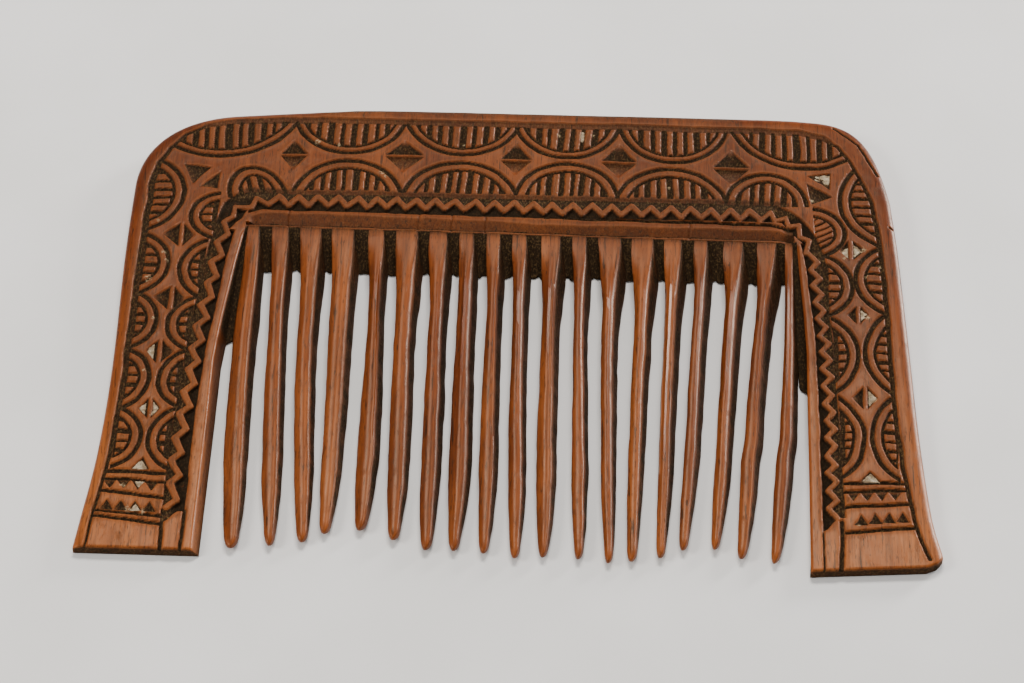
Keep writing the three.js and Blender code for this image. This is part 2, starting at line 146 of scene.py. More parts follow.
# Level grooves across the feet: both ends and half width.
FOOT_LINES = [
    ((-77.2, -33.2), (-65.4, -33.4), 0.62), ((-77.5, -34.8), (-65.4, -35.6), 0.4),
    ((-78.2, -37.5), (-65.4, -39.2), 0.5), ((-78.4, -42.3), (-65.4, -43.4), 0.5),
    ((-78.6, -43.6), (-65.4, -45.2), 0.5), ((65, -31.5), (76, -31), 0.5),
    ((65, -33.5), (76.6, -32.5), 0.45), ((65, -37), (77.6, -35.7), 0.5), ((65, -42.9), (79, -41.2), 0.5),
]
# Upright grooves beside the plain panels: both ends, half width and depth.
PANEL_LINES = [
    ((-65.1, -42), (-65.0, -54), 0.55, 0.5), ((-61, -42), (-61.2, -54), 0.5, 0.45),
    ((64.2, -40.5), (63.8, -54), 0.62, 0.5), ((60.6, -41), (60.6, -54), 0.3, 0.25),
]
# Rows of chips: x of each, y of the first, step in y, corners from there and depth.
LEFT_CHIPS_X = (-76, -73.3, -70.6, -67.9)
RIGHT_CHIPS_X = (66.6, 69.2, 71.8, 74.4)
CHIP_ROWS = [
    (LEFT_CHIPS_X, -34.8, -0.12, [(-1.6, 0), (1.6, 0), (0.1, -2.6)], 0.7),
    (LEFT_CHIPS_X, -42.2, -0.12, [(-1.7, 0), (0, 2.7), (1.7, 0)], 0.75),
    (RIGHT_CHIPS_X, -33.4, 0.2, [(-1.5, 0), (1.5, 0), (0, -2.4)], 0.65),
    (RIGHT_CHIPS_X, -41.2, 0.3, [(-0.3, 0), (1.3, 2.8), (2.9, 0)], 0.75),
]
RAIL_CRACKS = (-46.9, -20.2, -13.4, -6.6, 35.2)

# Smears of lime left in the cuts: middle and reach.
LIME_SMEARS = [
    (-74, 14.5, 0.9), (-71.7, 21.5, 0.6), (-70.9, 19.5, 0.5), (12.7, 56.6, 0.7), (7.9, 56.9, 0.5),
    (-12, 53.5, 0.5), (-28.6, 44.9, 0.7), (-27.6, 43.9, 0.6), (31, 43, 0.5), (-42.5, 53, 0.6),
    (-38, 52.4, 0.5), (-71.9, 4.4, 0.5), (-72.2, -8.6, 0.5), (70.9, 9.2, 0.7), (66.7, 26.2, 0.8),
    (70.2, 26.6, 0.9), (70.8, 20, 0.5), (71.4, -11.3, 0.7), (73.7, 22.8, 0.6), (70, -30, 0.8),
    (-73.5, -36.2, 0.7), (-72, -41.9, 0.8), (-69, -42.3, 0.7), (-71, -32, 0.7), (63.6, 46.2, 0.9),
    (60.4, 40, 0.5), (-73.5, 29.9, 0.5), (15.2, 57.3, 0.4), (66.5, 24.4, 0.5), (67.5, -41, 0.5),
]

# Each tooth: root x, tip x, tip y, bow, then the width at the root, neck, belly and tip.
TEETH = [
    (-53.8, -51.7, -49.5, -1.2, 2.4, 3.5, 3.8, 2.0),
    (-48.4, -44.4, -48.7, -0.7, 3.2, 2.8, 3.3, 1.5),
    (-42.2, -38.2, -47.7, -0.9, 4.2, 3.1, 3.2, 1.8),
    (-35.6, -34.1, -45.6, -0.1, 4.5, 3.8, 3.3, 1.7),
    (-28.8, -27.4, -44.6, 0.1, 3.0, 2.6, 3.7, 1.7),
    (-22.5, -21.0, -46.6, -0.3, 4.4, 3.4, 3.4, 1.7),
    (-16.1, -14.8, -48.7, -0.2, 3.6, 2.8, 3.2, 1.7),
    (-10.3, -9.4, -48.7, -0.1, 2.9, 2.8, 3.5, 1.5),
    (-4.8, -3.8, -49.1, -0.2, 2.7, 2.3, 2.9, 1.5),
    (0.5, 2.2, -50.0, -0.5, 2.9, 2.4, 2.9, 1.5),
    (6.9, 7.5, -49.6, -0.5, 4.0, 2.8, 3.3, 1.4),
    (12.7, 14.2, -49.8, -0.4, 2.9, 2.1, 2.7, 1.4),
    (18.9, 19.9, -50.5, -0.7, 4.6, 2.5, 2.4, 1.4),
    (25.6, 24.1, -50.0, -0.3, 4.2, 2.8, 2.5, 1.5),
    (31.8, 29.6, -49.0, -0.2, 3.4, 2.3, 2.2, 1.4),
    (37.5, 33.9, -47.1, 0.0, 2.6, 2.1, 2.3, 1.4),
    (44.1, 39.9, -46.7, -0.1, 4.0, 2.8, 2.6, 1.4),
    (50.9, 44.9, -48.7, -0.3, 3.8, 2.4, 2.8, 1.4),
    (55.4, 51.2, -49.5, 0.7, 1.6, 2.0, 2.8, 1.4),
]
NECK_AT = 0.22  # shares of the tooth's length
BELLY_AT = 0.72
NOSE_LENGTH = 0.032
FRONT_FROM = 0.55  # share of the thickness from which a corner counts as the tooth's front
ASKEW = {8: 0.04, 17: 0.04, 19: 0.06}  # teeth whose fronts were cut higher on the right, by number

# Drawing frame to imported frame: the same two corners, seen in both.
spine_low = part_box("spine")[0]
hatch_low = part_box("lime_crown_hatch")[0]
SHIFT = np.array([hatch_low[0] / MM - 12.2, spine_low[1] / MM - KERF_FLOOR_Y, 0.0])


# ---- small mathematics ----
def smooth(low, high, value):
    t = np.clip((value - low) / (high - low), 0, 1)
    return t * t * (3 - 2 * t)


def noise(x, y, cell, seed):
    """Smooth random heights between -1 and 1, one lattice point every cell millimetres."""
    size = 128
    table = np.random.default_rng(seed).uniform(-1, 1, (size, size))
    gx, gy = x / cell, y / cell
    ix, iy = np.floor(gx).astype(int), np.floor(gy).astype(int)
    fx, fy = smooth(0, 1, gx - ix), smooth(0, 1, gy - iy)
    x0, x1, y0, y1 = ix % size, (ix + 1) % size, iy % size, (iy + 1) % size
    near = table[x0, y0] * (1 - fx) + table[x1, y0] * fx
    far = table[x0, y1] * (1 - fx) + table[x1, y1] * fx
    return near * (1 - fy) + far * fy


def curve(at, value):
    """A function of one coordinate that runs straight between the values given at some places."""
    return lambda place: np.interp(place, at, value)


def quarter_round(share):
    """Drop of a rounded edge, from 0 where it starts to 1 at its rim."""
    return 1 - np.sqrt(1 - share ** 2)


def blurred(grid, passes):
    """A grid smoothed along both of its directions."""
    out = grid
    for _ in range(passes):
        wide = np.pad(out, 1, mode="edge")
        out = (wide[:-2, 1:-1] + 2 * wide[1:-1, 1:-1] + wide[2:, 1:-1]) / 4
        wide = np.pad(out, 1, mode="edge")
        out = (wide[1:-1, :-2] + 2 * wide[1:-1, 1:-1] + wide[1:-1, 2:]) / 4
    return out


def spline(points, steps):
    """Catmull-Rom curve through the points."""
    p = np.array([points[0], *points, points[-1]], float)
    t = np.linspace(0, 1, steps, endpoint=False)[:, None]
    rows = []
    for a, b, c, d in zip(p, p[1:], p[2:], p[3:]):
        rows.append(0.5 * (2 * b + (c - a) * t + (2 * a - 5 * b + 4 * c - d) * t ** 2
                           + (3 * b - a - 3 * c + d) * t ** 3))
    return np.vstack([*rows, p[-1:]])


def bezier(points, steps):
    a, b, c, d = np.array(points, float)
    t = np.linspace(0, 1, steps)[:, None]
    return a * (1 - t) ** 3 + 3 * b * t * (1 - t) ** 2 + 3 * c * t ** 2 * (1 - t) + d * t ** 3


def segment_distance(x, y, start, end):
    dx, dy = end[0] - start[0], end[1] - start[1]
    t = np.clip(((x - start[0]) * dx + (y - start[1]) * dy) / (dx * dx + dy * dy), 0, 1)
    return np.hypot(x - start[0] - t * dx, y - start[1] - t * dy)


def path_distance(x, y, points):
    nearest = np.full_like(x, 1e3)
    for start, end in zip(points, points[1:]):
        nearest = np.minimum(nearest, segment_distance(x, y, start, end))
    return nearest


def inside_distance(x, y, corners):
    """Distance to the nearest side of a convex outline: positive inside it."""
    corners = np.array(corners, float)
    following = np.roll(corners, -1, axis=0)
    turn = np.sign(np.sum(corners[:, 0] * following[:, 1] - corners[:, 1] * following[:, 0]))
    nearest = np.full_like(x, 1e3)
    for a, b in zip(corners, following):
        length = math.hypot(*(b - a))
        side = ((b[0] - a[0]) * (y - a[1]) - (b[1] - a[1]) * (x - a[0])) / length
        nearest = np.minimum(nearest, side * turn)
    return nearest


def ellipse_distance(u, v, rx, ry):
    """Distance outside an ellipse, good close to it: negative inside."""
    r = np.hypot(u / rx, v / ry) + 1e-6
    slope = np.hypot(u / rx ** 2, v / ry ** 2) / r + 1e-6
    return (r - 1) / slope


def thickness(y):
    down = np.maximum(0, (SHOULDER_Y - y) / (SHOULDER_Y - FEET_Y))
    return FACE_Z * (1 - down * (1 - FOOT_THICKNESS / THICKNESS))


# ---- outline ----
OUTLINE = np.vstack([
    spline(LEFT_SIDE, 12)[:-1],
    bezier(LEFT_CORNER, 50)[:-1],
    spline(CREST, 12)[:-1],
    bezier(RIGHT_CORNER, 50)[:-1],
    spline(RIGHT_SIDE, 12),
])
LEFT_RUN = OUTLINE[(OUTLINE[:, 0] < -60) & (OUTLINE[:, 1] < 60)]
RIGHT_RUN = OUTLINE[(OUTLINE[:, 0] > 60.5) & (OUTLINE[:, 1] < 62.5)]
TOP_RUN = OUTLINE[(OUTLINE[:, 1] > 52)]


def left_x(y):
    return np.interp(y, LEFT_RUN[:, 1], LEFT_RUN[:, 0])


def right_x(y):
    return np.interp(y, RIGHT_RUN[::-1, 1], RIGHT_RUN[::-1, 0])


def top_y(x):
    return np.interp(x, TOP_RUN[:, 0], TOP_RUN[:, 1])


def rim_distance(x, y):
    """Distance from the outer outline, measured only near it."""
    far = 8.0
    out = np.full(x.shape, far)
    near = (x < left_x(y) + far) | (x > right_x(y) - far) | (y > top_y(x) - far)
    out[near] = path_distance(x[near], y[near], OUTLINE)
    return np.minimum(out, far)


# ---- knife work ----
class Carving:
    """Depth taken from the face, the dirt and painted shade that each cut holds, the painted shade of its
    depth, and smears of lime.
    """

    def __init__(self, x, y):
        self.x = x + 0.16 * noise(x, y, 4.5, 1) + 0.07 * noise(x, y, 1.2, 2)
        self.y = y + 0.16 * noise(x, y, 4.5, 3) + 0.07 * noise(x, y, 1.2, 4)
        self.depth = np.zeros_like(x)
        self.dirt = np.zeros_like(x)
        self.soot = np.zeros_like(x)
        self.lime = np.zeros_like(x)

    def cut(self, depth, dirt=1.0, soot=0.25):
        deeper = depth > self.depth
        self.depth = np.where(deeper, depth, self.depth)
        self.dirt = np.where(deeper & (depth > 0.02), dirt, self.dirt)
        self.soot = np.where(deeper & (depth > 0.02), soot, self.soot)

    def clear(self, keep):
        """Takes back what was cut where keep is 0."""
        self.depth = self.depth * keep
        self.dirt = self.dirt * keep
        self.soot = self.soot * keep

    def groove(self, distance, half_width, depth=GROOVE_DEPTH, dirt=1.0):
        self.cut(depth * np.clip(1.7 * (1 - np.abs(distance) / half_width), 0, 1), dirt, GROOVE_SHADE)

    def line(self, start, end, half_width, depth=GROOVE_DEPTH, dirt=1.0):
        self.groove(segment_distance(self.x, self.y, start, end), half_width, depth, dirt)

    def chip(self, corners, depth=0.75):
        """A three-cornered chip, deepest near its last corner."""
        inside = inside_distance(self.x, self.y, corners)
        deep = np.array(corners[-1], float)
        span = max(math.hypot(*(deep - np.array(c, float))) for c in corners[:-1])
        slope = 1 - 0.75 * np.hypot(self.x - deep[0], self.y - deep[1]) / span
        self.cut(np.minimum(depth * slope, CHIP_SLOPE * inside))

    def smear(self, cx, cy, reach):
        distance = np.hypot(self.x - cx, self.y - cy)
        ragged = reach * (1 + 0.5 * noise(self.x, self.y, 0.5, 9))
        self.lime = np.maximum(self.lime, smooth(ragged, 0.4 * reach, distance))


def lunette(work, place, facing, pitch, gap, seed, line=2.0, slant=0.0, lean=0.0, margin=0.0):
    """A groove along an arc, a raised line inside it, and a field hatched with narrow bars.

    facing is the way the arc bulges, line how far in the second groove runs, and margin how much
    of the field along the flat side is cleared of bars.
    """
    cx, cy, half, rise = place
    dx, dy = work.x - cx, work.y - cy
    u, v = {"up": (dx, dy), "down": (dx, -dy), "left": (dy, -dx), "right": (dy, dx)}[facing]
    u = u + lean * v
    sunk = max(0, (half ** 2 - rise ** 2) / (2 * rise))
    width = half if sunk == 0 else rise + sunk
    arc = ellipse_distance(u, v + sunk, width, rise + sunk)
    above = smooth(-0.35, 0.05, v)
    work.groove(np.where(v > -0.3, arc, 9), ARC_HALF)
    work.groove(np.where(v > -0.2, arc + line, 9), INNER_HALF)
    rng = np.random.default_rng(seed)
    along = u + slant * v + 0.32 * noise(u, 0 * u, pitch * 1.3, seed) + rng.uniform(0, pitch)
    along = along + rng.uniform(-0.07, 0.07) * v
    step = np.floor(along / pitch)
    gap_here = gap * (1 + 0.2 * np.sin(step * 2.4 + seed))
    centre = np.abs(along - (step + 0.5) * pitch)
    field = -arc - line
    inside = np.minimum(gap_here / 2 - centre, field)
    work.cut(HATCH_DEPTH * np.clip(inside / HATCH_FLANK, 0, 1) * above)
    edge = np.minimum(margin - v, field)
    work.cut(0.8 * HATCH_DEPTH * np.clip(edge / HATCH_FLANK, 0, 1) * above)


def crown_lozenge(work, place):
    """Two chips on a level ridge: the upper one is painted darker, with dirt and painted shade for the
    shadow in it; the lower one is shallower and painted lighter.
    """
    cx, cy, half, up, down = place
    for side, reach, depth, dirt, soot in ((1, up, 0.95, 0.95, 0.35), (-1, down, 0.75, 0.55, 0.0)):
        ridge = cy + 0.15 * side
        corners = [(cx - half, ridge), (cx + half, ridge), (cx, cy + side * reach)]
        inside = inside_distance(work.x, work.y, corners)
        fall = np.clip(1.05 - side * (work.y - cy) / reach, 0, 1)
        work.cut(np.minimum(depth * fall, CHIP_SLOPE * inside), dirt, soot)


def guard_lozenge(work, place):
    """Two chips on an upright ridge."""
    cx, cy, left, right, half = place
    for side, reach in ((-1, left), (1, right)):
        ridge = cx + 0.3 * side
        corners = [(ridge, cy - half), (cx + side * reach, cy), (ridge, cy + half)]
        inside = inside_distance(work.x, work.y, corners)
        fall = np.clip(1.1 - side * (work.x - cx) / reach, 0, 1)
        work.cut(np.minimum(0.9 * fall, CHIP_SLOPE * inside), 0.9, 0.3)


def zigzag(start, end, middle, reach, across, pitch, seed, skew=0.0):
    """Corner points of a zigzag that runs from start to end and swings across its middle line."""
    rng = np.random.default_rng(seed)
    points = []
    count = int(abs(end - start) / (pitch / 2))
    for k in range(count + 1):
        at = start + (end - start) * k / count + rng.uniform(-0.18, 0.18) + skew * (k % 2)
        swing = middle(at) + (reach if k % 2 else -reach) * rng.uniform(0.88, 1.08)
        points.append((at, swing) if across == "y" else (swing, at))
    return points


# Bands round the teeth: their edges and the middle line of the zigzag, as functions of y or x.
left_band_outer = curve([-44, -25, -10.6, 3.4, 17.6, 25.5, 29.8, 32.6, 35.2, 36.8, 37.9, 38.9],
                        [-65.5, -65.6, -65.1, -64.4, -63.5, -62.6, -61.6, -61.2, -60.6, -59.4, -58, -55])
left_band_inner = curve([-50, -20, -10, 0, 10, 20, 30], [-60.7, -61.2, -60.9, -60.4, -59.4, -58.6, -57.2])
left_band_middle = curve([-41, -29, -19, -9, 1, 10.5, 20.2, 27],
                         [-63.6, -63.8, -63.4, -62.9, -62.3, -61.6, -60.6, -59.8])
right_band_outer = curve([-42, -20.4, -0.2, 10.4, 17.4, 24.5, 27.5, 30.2, 33, 35.3, 36.8, 38, 38.9],
                         [65.1, 64.7, 63.9, 63.5, 63.1, 62.9, 62.1, 60.9, 59.4, 57.7, 56, 54.2, 53])
right_band_inner = curve([-40, -10, 0, 10, 20, 28], [60.4, 60.4, 60.2, 59.6, 58.9, 57.7])
right_band_middle = curve([-38, -29, -19, -9, 1, 10.5, 20.2, 27],
                          [62.5, 62.6, 62.7, 62.4, 62, 61.4, 60.6, 60])
top_band_middle = curve([-55, 0, 54], [36.5, 36.2, 35.4])
TOP_BAND = (33.6, 38.9)
LEFT_BAND_CORNER = [(-66, 24), (-57.6, 28), (-56.4, 31), (-54.8, 33), (-48, 42), (-66, 42)]
RIGHT_BAND_CORNER = [(66, 24), (57.7, 28), (56.2, 30.3), (53.8, 33), (46, 42), (66, 42)]
# The zigzag's own corners where it turns down beside the teeth.
LEFT_TURN = [(-51.3, 35.1), (-54, 36.7), (-54.8, 34.1), (-58.1, 34.1), (-58.2, 31.4), (-60, 29.9),
             (-58.8, 26.8)]
RIGHT_TURN = [(49.6, 34.1), (51.7, 36.6), (52.7, 34.2), (54.9, 35.1), (55.5, 32.6), (57.6, 33), (57.7, 29.7),
              (59.6, 29), (58.7, 25.6)]


def band_inside(x, y):
    """Distance to the nearest edge of the sunk border: positive inside it."""
    top = np.minimum(TOP_BAND[1] - y, y - TOP_BAND[0])
    left = np.minimum(left_band_inner(y) - x, y + 44.8 - 2.6 * smooth(-65, -62, x))
    right = np.minimum(x - right_band_inner(y), y + 42.6 - 3.0 * smooth(60.5, 64, x))
    left_corner = inside_distance(x, y, LEFT_BAND_CORNER)
    right_corner = inside_distance(x, y, RIGHT_BAND_CORNER)
    sides = [np.where(y < 28, left, -9), np.where(y < 28, right, -9)]
    inside = np.maximum.reduce([top, *sides, left_corner, right_corner])
    inside = np.minimum(inside, np.minimum(x - left_band_outer(y), right_band_outer(y) - x))
    return np.minimum(inside, TOP_BAND[1] - y)


def zigzag_distance(x, y):
    """Distance from the zigzag line. Its top and left runs are a little broader."""
    top_run = zigzag(-51.3, 49.6, top_band_middle, 1.25, "y", 4.03, 21)
    left_run = zigzag(26.8, -42, left_band_middle, -0.95, "x", 5.3, 22, skew=0.75)
    right_run = zigzag(25.6, -39.5, right_band_middle, 0.85, "x", 4.1, 23)
    nearest = np.full_like(x, 1e3)
    for run, broader in ((top_run, 0.08), (LEFT_TURN, 0), (RIGHT_TURN, 0), (left_run, 0.1), (right_run, 0)):
        nearest = np.minimum(nearest, path_distance(x, y, run) - broader)
    return nearest


def bands(work):
    """The sunk border with the zigzag line left standing, and the plain ledge above it."""
    x, y = work.x, work.y
    inside = band_inside(x, y)
    beside_line = (zigzag_distance(x, y) - ZIGZAG_HALF) / ZIGZAG_FLANK
    beside_teeth = np.where(x < 0, x - left_band_middle(y), right_band_middle(y) - x)
    # Painted shade: the hollows on the teeth's side of the zigzag are painted darker for their depth, as
    # well as cut deeper.
    soot = smooth(-0.5, 0.5, np.where(y > 30, top_band_middle(x) - y, beside_teeth))
    uneven = 0.85 + 0.4 * soot + 0.15 * noise(x, y, 2.2, 24)
    flank = np.clip(np.minimum(inside / BAND_FLANK, beside_line), 0, 1)
    work.clear(inside < BAND_FLANK)
    work.cut(BAND_DEPTH * uneven * flank, 1.0, 0.9 * soot)
    ledge = np.clip((40.2 - y) / 1.3, 0, 1) * (y > 38.2) * smooth(-57.5, -56, x) * smooth(56.5, 54.5, x)
    work.cut(0.5 * ledge, 0.5)


def rail_lines(x):
    """Heights of the rail's foot, crest and top edge along the comb."""
    foot = np.interp(x, [-55, -20, 4, 55], [30.2, 30.0, 29.7, 29.3])
    crest = np.interp(x, [-55.4, -52, -38, -20, -7, 4, 18, 53, 55.5],
                      [31.8, 32.8, 32.8, 32.3, 32.2, 31.3, 31.7, 31.4, 30.6])
    top = np.interp(x, [-55.4, -52.5, -20, 4, 52, 55.5], [32.7, 33.8, 33.6, 33.3, 32.6, 31.6])
    return foot, crest, top


def kerf_line(x):
    """Front edge of the saw-cut floors, just under the lip of the rail."""
    return rail_lines(x)[0] - 0.95


def rail(work, x, y):
    """The raised rail above the teeth, its steep lower face and the groove along its top."""
    foot, crest, top = rail_lines(x)
    upper = np.clip((work.y - crest) / (top - crest), 0, 1)
    lower = np.clip((crest - work.y) / (crest - foot), 0, 1)
    roof = 0.02 + 0.25 * upper ** 1.5 + 1.3 * lower
    below = foot - work.y
    roof = np.where(below > 0, np.interp(below, [0, 0.2, 0.45, 0.6], [1.32, 1.35, 0.6, 0.36]), roof)
    roof = roof * (1 - smooth(-53.6, -55.2, x) * (work.y > foot)) + 0.45 * smooth(53.6, 55.4, x)
    along = (x > -55.5) & (x < 56.4) & (work.y < top + 0.1) & (y < 36)
    for crack in RAIL_CRACKS:
        roof = roof + 0.25 * np.clip(1 - np.abs(work.x - crack) / 0.3, 0, 1)
    # Painted shade: the rail's steep lower face, turned away from the light, is painted darker, and the
    # upper face a little darker too.
    faces = 0.25 * smooth(0.5, 1, lower) + 0.1 * upper
    dirt = np.where(below > 0.42, 0.1, np.where(below > -0.25, 1.0, faces))
    dirt = np.maximum(dirt, 0.6 * smooth(54.2, 55.2, x))
    work.depth = np.where(along, roof, work.depth)
    work.dirt = np.where(along, dirt, work.dirt)
    work.soot = np.where(along, 0.3, work.soot)
    under_zigzag = (x > -55.4) & (x < 55.6)
    work.groove(np.where(under_zigzag, work.y - top - 0.3, 9), INNER_HALF, BAND_DEPTH)


def feet(work):
    """Level grooves, rows of chips and a plain panel at the end of each guard."""
    for groove in FOOT_LINES:
        work.line(*groove)
    for places, first_y, step, corners, depth in CHIP_ROWS:
        for k, x in enumerate(places):
            work.chip([(x + dx, first_y + step * k + dy) for dx, dy in corners], depth)
    for groove in PANEL_LINES:
        work.line(*groove)


def border_distance(x, y):
    """Distance from the border's middle line, positive on the side of the carving."""
    path = np.array(BORDER)
    left, right = path[path[:, 0] < -59], path[path[:, 0] > 57][::-1]
    top = path[path[:, 1] > 39]
    within = ((x > np.interp(y, left[:, 1], left[:, 0])) & (x < np.interp(y, right[:, 1], right[:, 0]))
              & (y < np.interp(x, top[:, 0], top[:, 1])))
    distance = path_distance(x, y, BORDER)
    return np.where(within, distance, -distance)


def border(work):
    """The groove that follows the outline, and the worn notches at the right corner."""
    gap = border_distance(work.x, work.y)
    outside = smooth(0.2, -0.1, gap)
    work.depth = work.depth * (1 - outside)
    work.dirt = work.dirt * (gap > 0)
    top = smooth(56, 58, work.y)
    left = np.interp(work.y, [-48, -30, 0, 42, 52], [0.25, 0.45, 0.65, 0.7, 0.35])
    right = np.interp(work.y, [-48, -20, 30, 38, 50], [0.4, 0.5, 0.52, 0.4, 0.35])
    half_width = np.where(work.x < 0, left, right) * (1 - top) + 0.85 * top
    depth = 0.55 - 0.2 * top
    work.cut(depth * np.clip((half_width + 0.15 - np.abs(gap)) / 0.35, 0, 1), 0.85 - 0.4 * top, 0.1)
    work.line((65.5, 60.6), (70.3, 56), 0.38, 0.4, 0.9)
    work.line((70.3, 56), (74.1, 47.5), 0.38, 0.4, 0.9)
    work.line((76.0, 33.3), (76.6, 32.9), 0.3, 0.4)


def carve(x, y):
    work = Carving(x, y)
    for k, place in enumerate(CROWN_UPPER):
        lunette(work, place, "down", 2.35, 1.35, 31 + k, line=1.75)
    for k, place in enumerate(CROWN_LOWER):
        lunette(work, place, "up", 2.3, 1.35, 41 + k, line=2.15, lean=0.25 if k == 0 else 0.0)
    for k, place in enumerate(LEFT_OUTER):
        lunette(work, place, "right", 2.3, 1.1, 51 + k, margin=0.5)
    for k, place in enumerate(LEFT_INNER):
        lunette(work, place, "left", 2.2, 1.15, 61 + k, margin=1.1)
    for k, place in enumerate(RIGHT_OUTER):
        lunette(work, place, "left", 2.3, 1.0, 71 + k, margin=0.4)
    first, *others = RIGHT_INNER
    lunette(work, first, "right", 1.7, 0.65, 81, slant=-0.6)
    for k, place in enumerate(others):
        lunette(work, place, "right", 2.2, 0.95, 82 + k, margin=1.0)
    for place in CROWN_LOZENGES:
        crown_lozenge(work, place)
    for place in GUARD_LOZENGES:
        guard_lozenge(work, place)
    for corners in CHIPS:
        work.chip(corners)
    feet(work)
    bands(work)
    border(work)
    rail(work, x, y)
    for place in LIME_SMEARS:
        work.smear(*place)
    return work


def paleness(y):
    """How much paler the wood is painted: dark and red at the crown, tan at the feet. This is partly the
    wood's tone and partly painted sheen for the light that falls on the feet.
    """
    return smooth(20, -56, y)


class Face:
    """The carved face over a grid of points: its height, and what the shader needs to know about it."""

    def __init__(self, x, y):
        rim = rim_distance(x, y)
        work = carve(x, y)
        inward = np.clip((RIM_WIDTH - rim) / RIM_WIDTH, 0, 0.985)
        drop = RIM_DROP * quarter_round(inward)
        uneven = 0.04 * noise(x, y, 14, 5) + 0.022 * noise(x, y, 3, 6) + 0.012 * noise(x, y, 1.1, 10)
        self.kerf = (x > LEFT_SEAM_X) & (x < RIGHT_SEAM_X) & (y < kerf_line(x))
        cut = np.where(self.kerf, 0, work.depth)
        ragged = 0.035 * noise(x, y, 0.5, 8) * smooth(0.15, 0.5, cut)
        floor = KERF_Z * (y - KERF_FLOOR_Y) / (kerf_line(x) - KERF_FLOOR_Y)
        self.z = np.where(self.kerf, floor, thickness(y) + uneven - drop - cut + ragged)
        weather = 0.5 * smooth(1.3, 0.3, rim) * smooth(46, 40, np.abs(x - 2)) * (y > 50)
        self.cut = np.maximum(cut, 0.4 * (weather > 0.1))
        self.dirt = np.maximum(work.dirt, weather)
        # Paler towards the feet: partly the wood's tone, partly painted sheen.
        self.pale = paleness(y)
        # Painted shade: the saw-cut floors are painted darker for their depth.
        self.soot = np.where(self.kerf, 0.3, work.soot)
        self.lime = np.where(self.kerf, 0.0, work.lime)

    def finish(self):
        """Dirt in the hollows with the painted shade it carries, painted depth shade, lime, and wear on the
        edges, as the mesh attributes want them.
        """
        hollow = blurred(self.z, 14) - self.z
        settled = 0.85 * smooth(0.06, 0.42, self.cut) + 0.6 * smooth(0.03, 0.2, hollow)
        beside_cuts = 0.3 * smooth(0.02, 0.22, blurred(self.cut, 40)) * (1 - self.dirt)
        grime_and_shade = np.clip(settled, 0, 1) * self.dirt + beside_cuts
        grime_and_shade = np.where(self.kerf, 1.0, np.clip(grime_and_shade, 0, 1))
        wear = smooth(0.02, 0.14, -hollow) * (1 - grime_and_shade)
        wear = np.where(self.kerf, 0, wear)
        return {"dirt": grime_and_shade, "wear": wear, "lime": self.lime, "soot": self.soot, "pale": self.pale}


# ---- meshes ----
def quads(index):
    corners = [index[:-1, :-1], index[:-1, 1:], index[1:, 1:], index[1:, :-1]]
    return np.stack(corners, -1).reshape(-1, 4).tolist()


class Solid:
    """Points with their shader values, and the faces between them."""

    def __init__(self):
        self.points, self.faces, self.flat = [], [], []
        self.values = {key: [] for key in ("dirt", "wear", "lime", "soot", "pale")}
        self.count = 0

    def add(self, points, **values):
        points = np.asarray(points, float).reshape(-1, 3)
        first = self.count
        self.points.append(points)
        for key, store in self.values.items():
            value = np.asarray(values.get(key, 0.0), float).ravel()
            store.append(np.broadcast_to(value, len(points)))
        self.count += len(points)
        return np.arange(first, self.count)

    def grid(self, points, **values):
        rows, cols = points.shape[:2]
        index = self.add(points, **values).reshape(rows, cols)
        self.faces += quads(index)
        return index

    def close(self, loop, inset, grime_and_shade):
        """Walls under a loop that runs counter-clockwise, and the flat back."""
        top = np.vstack(self.points)[loop]
        tangent = np.roll(top, -1, axis=0) - np.roll(top, 1, axis=0)
        outward = np.stack([tangent[:, 1], -tangent[:, 0]], 1)
        outward /= np.linalg.norm(outward, axis=1)[:, None] + 1e-9
        rings = [loop]
        for share, pull in ((0.72, 0.0), (0.4, 0.0), (0.13, 0.1), (0.04, 0.45), (0.0, 1.0)):
            ring = top.copy()
            ring[:, 2] = top[:, 2] * share
            ring[:, :2] -= outward * (inset * pull)[:, None]
            worn = 0.35 * (inset > 0.1) * (share < 0.2)
            rings.append(self.add(ring, dirt=grime_and_shade, wear=worn, pale=paleness(ring[:, 1])))
        wall = np.stack(rings)
        closed = np.concatenate([wall, wall[:, :1]], axis=1)
        self.faces += quads(closed[::-1])
        self.flat.append(len(self.faces))
        self.faces.append(rings[-1][::-1].tolist())

    def build(self, name, material, nodes):
        points = (np.vstack(self.points) + SHIFT) * MM
        mesh = bpy.data.meshes.new(name)
        mesh.from_pydata(points.tolist(), [], self.faces)
        mesh.polygons.foreach_set("use_smooth", [True] * len(self.faces))
        for i in self.flat:
            mesh.polygons[i].use_smooth = False
        for key, store in self.values.items():
            layer = mesh.attributes.new(key, "FLOAT", "POINT")
            layer.data.foreach_set("value", np.concatenate(store).astype(np.float32))
        mesh.materials.append(material)
        mesh.validate()
        mesh.set_sharp_from_angle(angle=math.radians(62))
        piece = bpy.data.objects.new(name, mesh)
        bpy.context.collection.objects.link(piece)
        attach(piece, "root")
        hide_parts(*nodes)


def beside(mask):
    """A mask round a loop, with the points next to it."""
    return mask | np.roll(mask, 1) | np.roll(mask, -1)


def tapered(values, sharp_at, reach=9):
    """Brings a loop's inset down to nothing at its corners."""
    out = np.array(values, float)
    steps = np.arange(len(out))
    for i in sharp_at:
        gap = np.abs(steps - i)
        gap = np.minimum(gap, len(out) - gap)
        out *= np.clip(gap / reach, 0, 1)
    return out


def seam_columns():
    """x of every column along the lower edge of the crown, shared with the guards."""
    left = np.linspace(left_x(SHOULDER_Y), LEFT_SEAM_X, GUARD_COLUMNS)
    right = np.linspace(RIGHT_SEAM_X, right_x(SHOULDER_Y), GUARD_COLUMNS)
    middle = np.linspace(left[-1], right[0], MIDDLE_COLUMNS)[1:-1]
    return left, middle, right


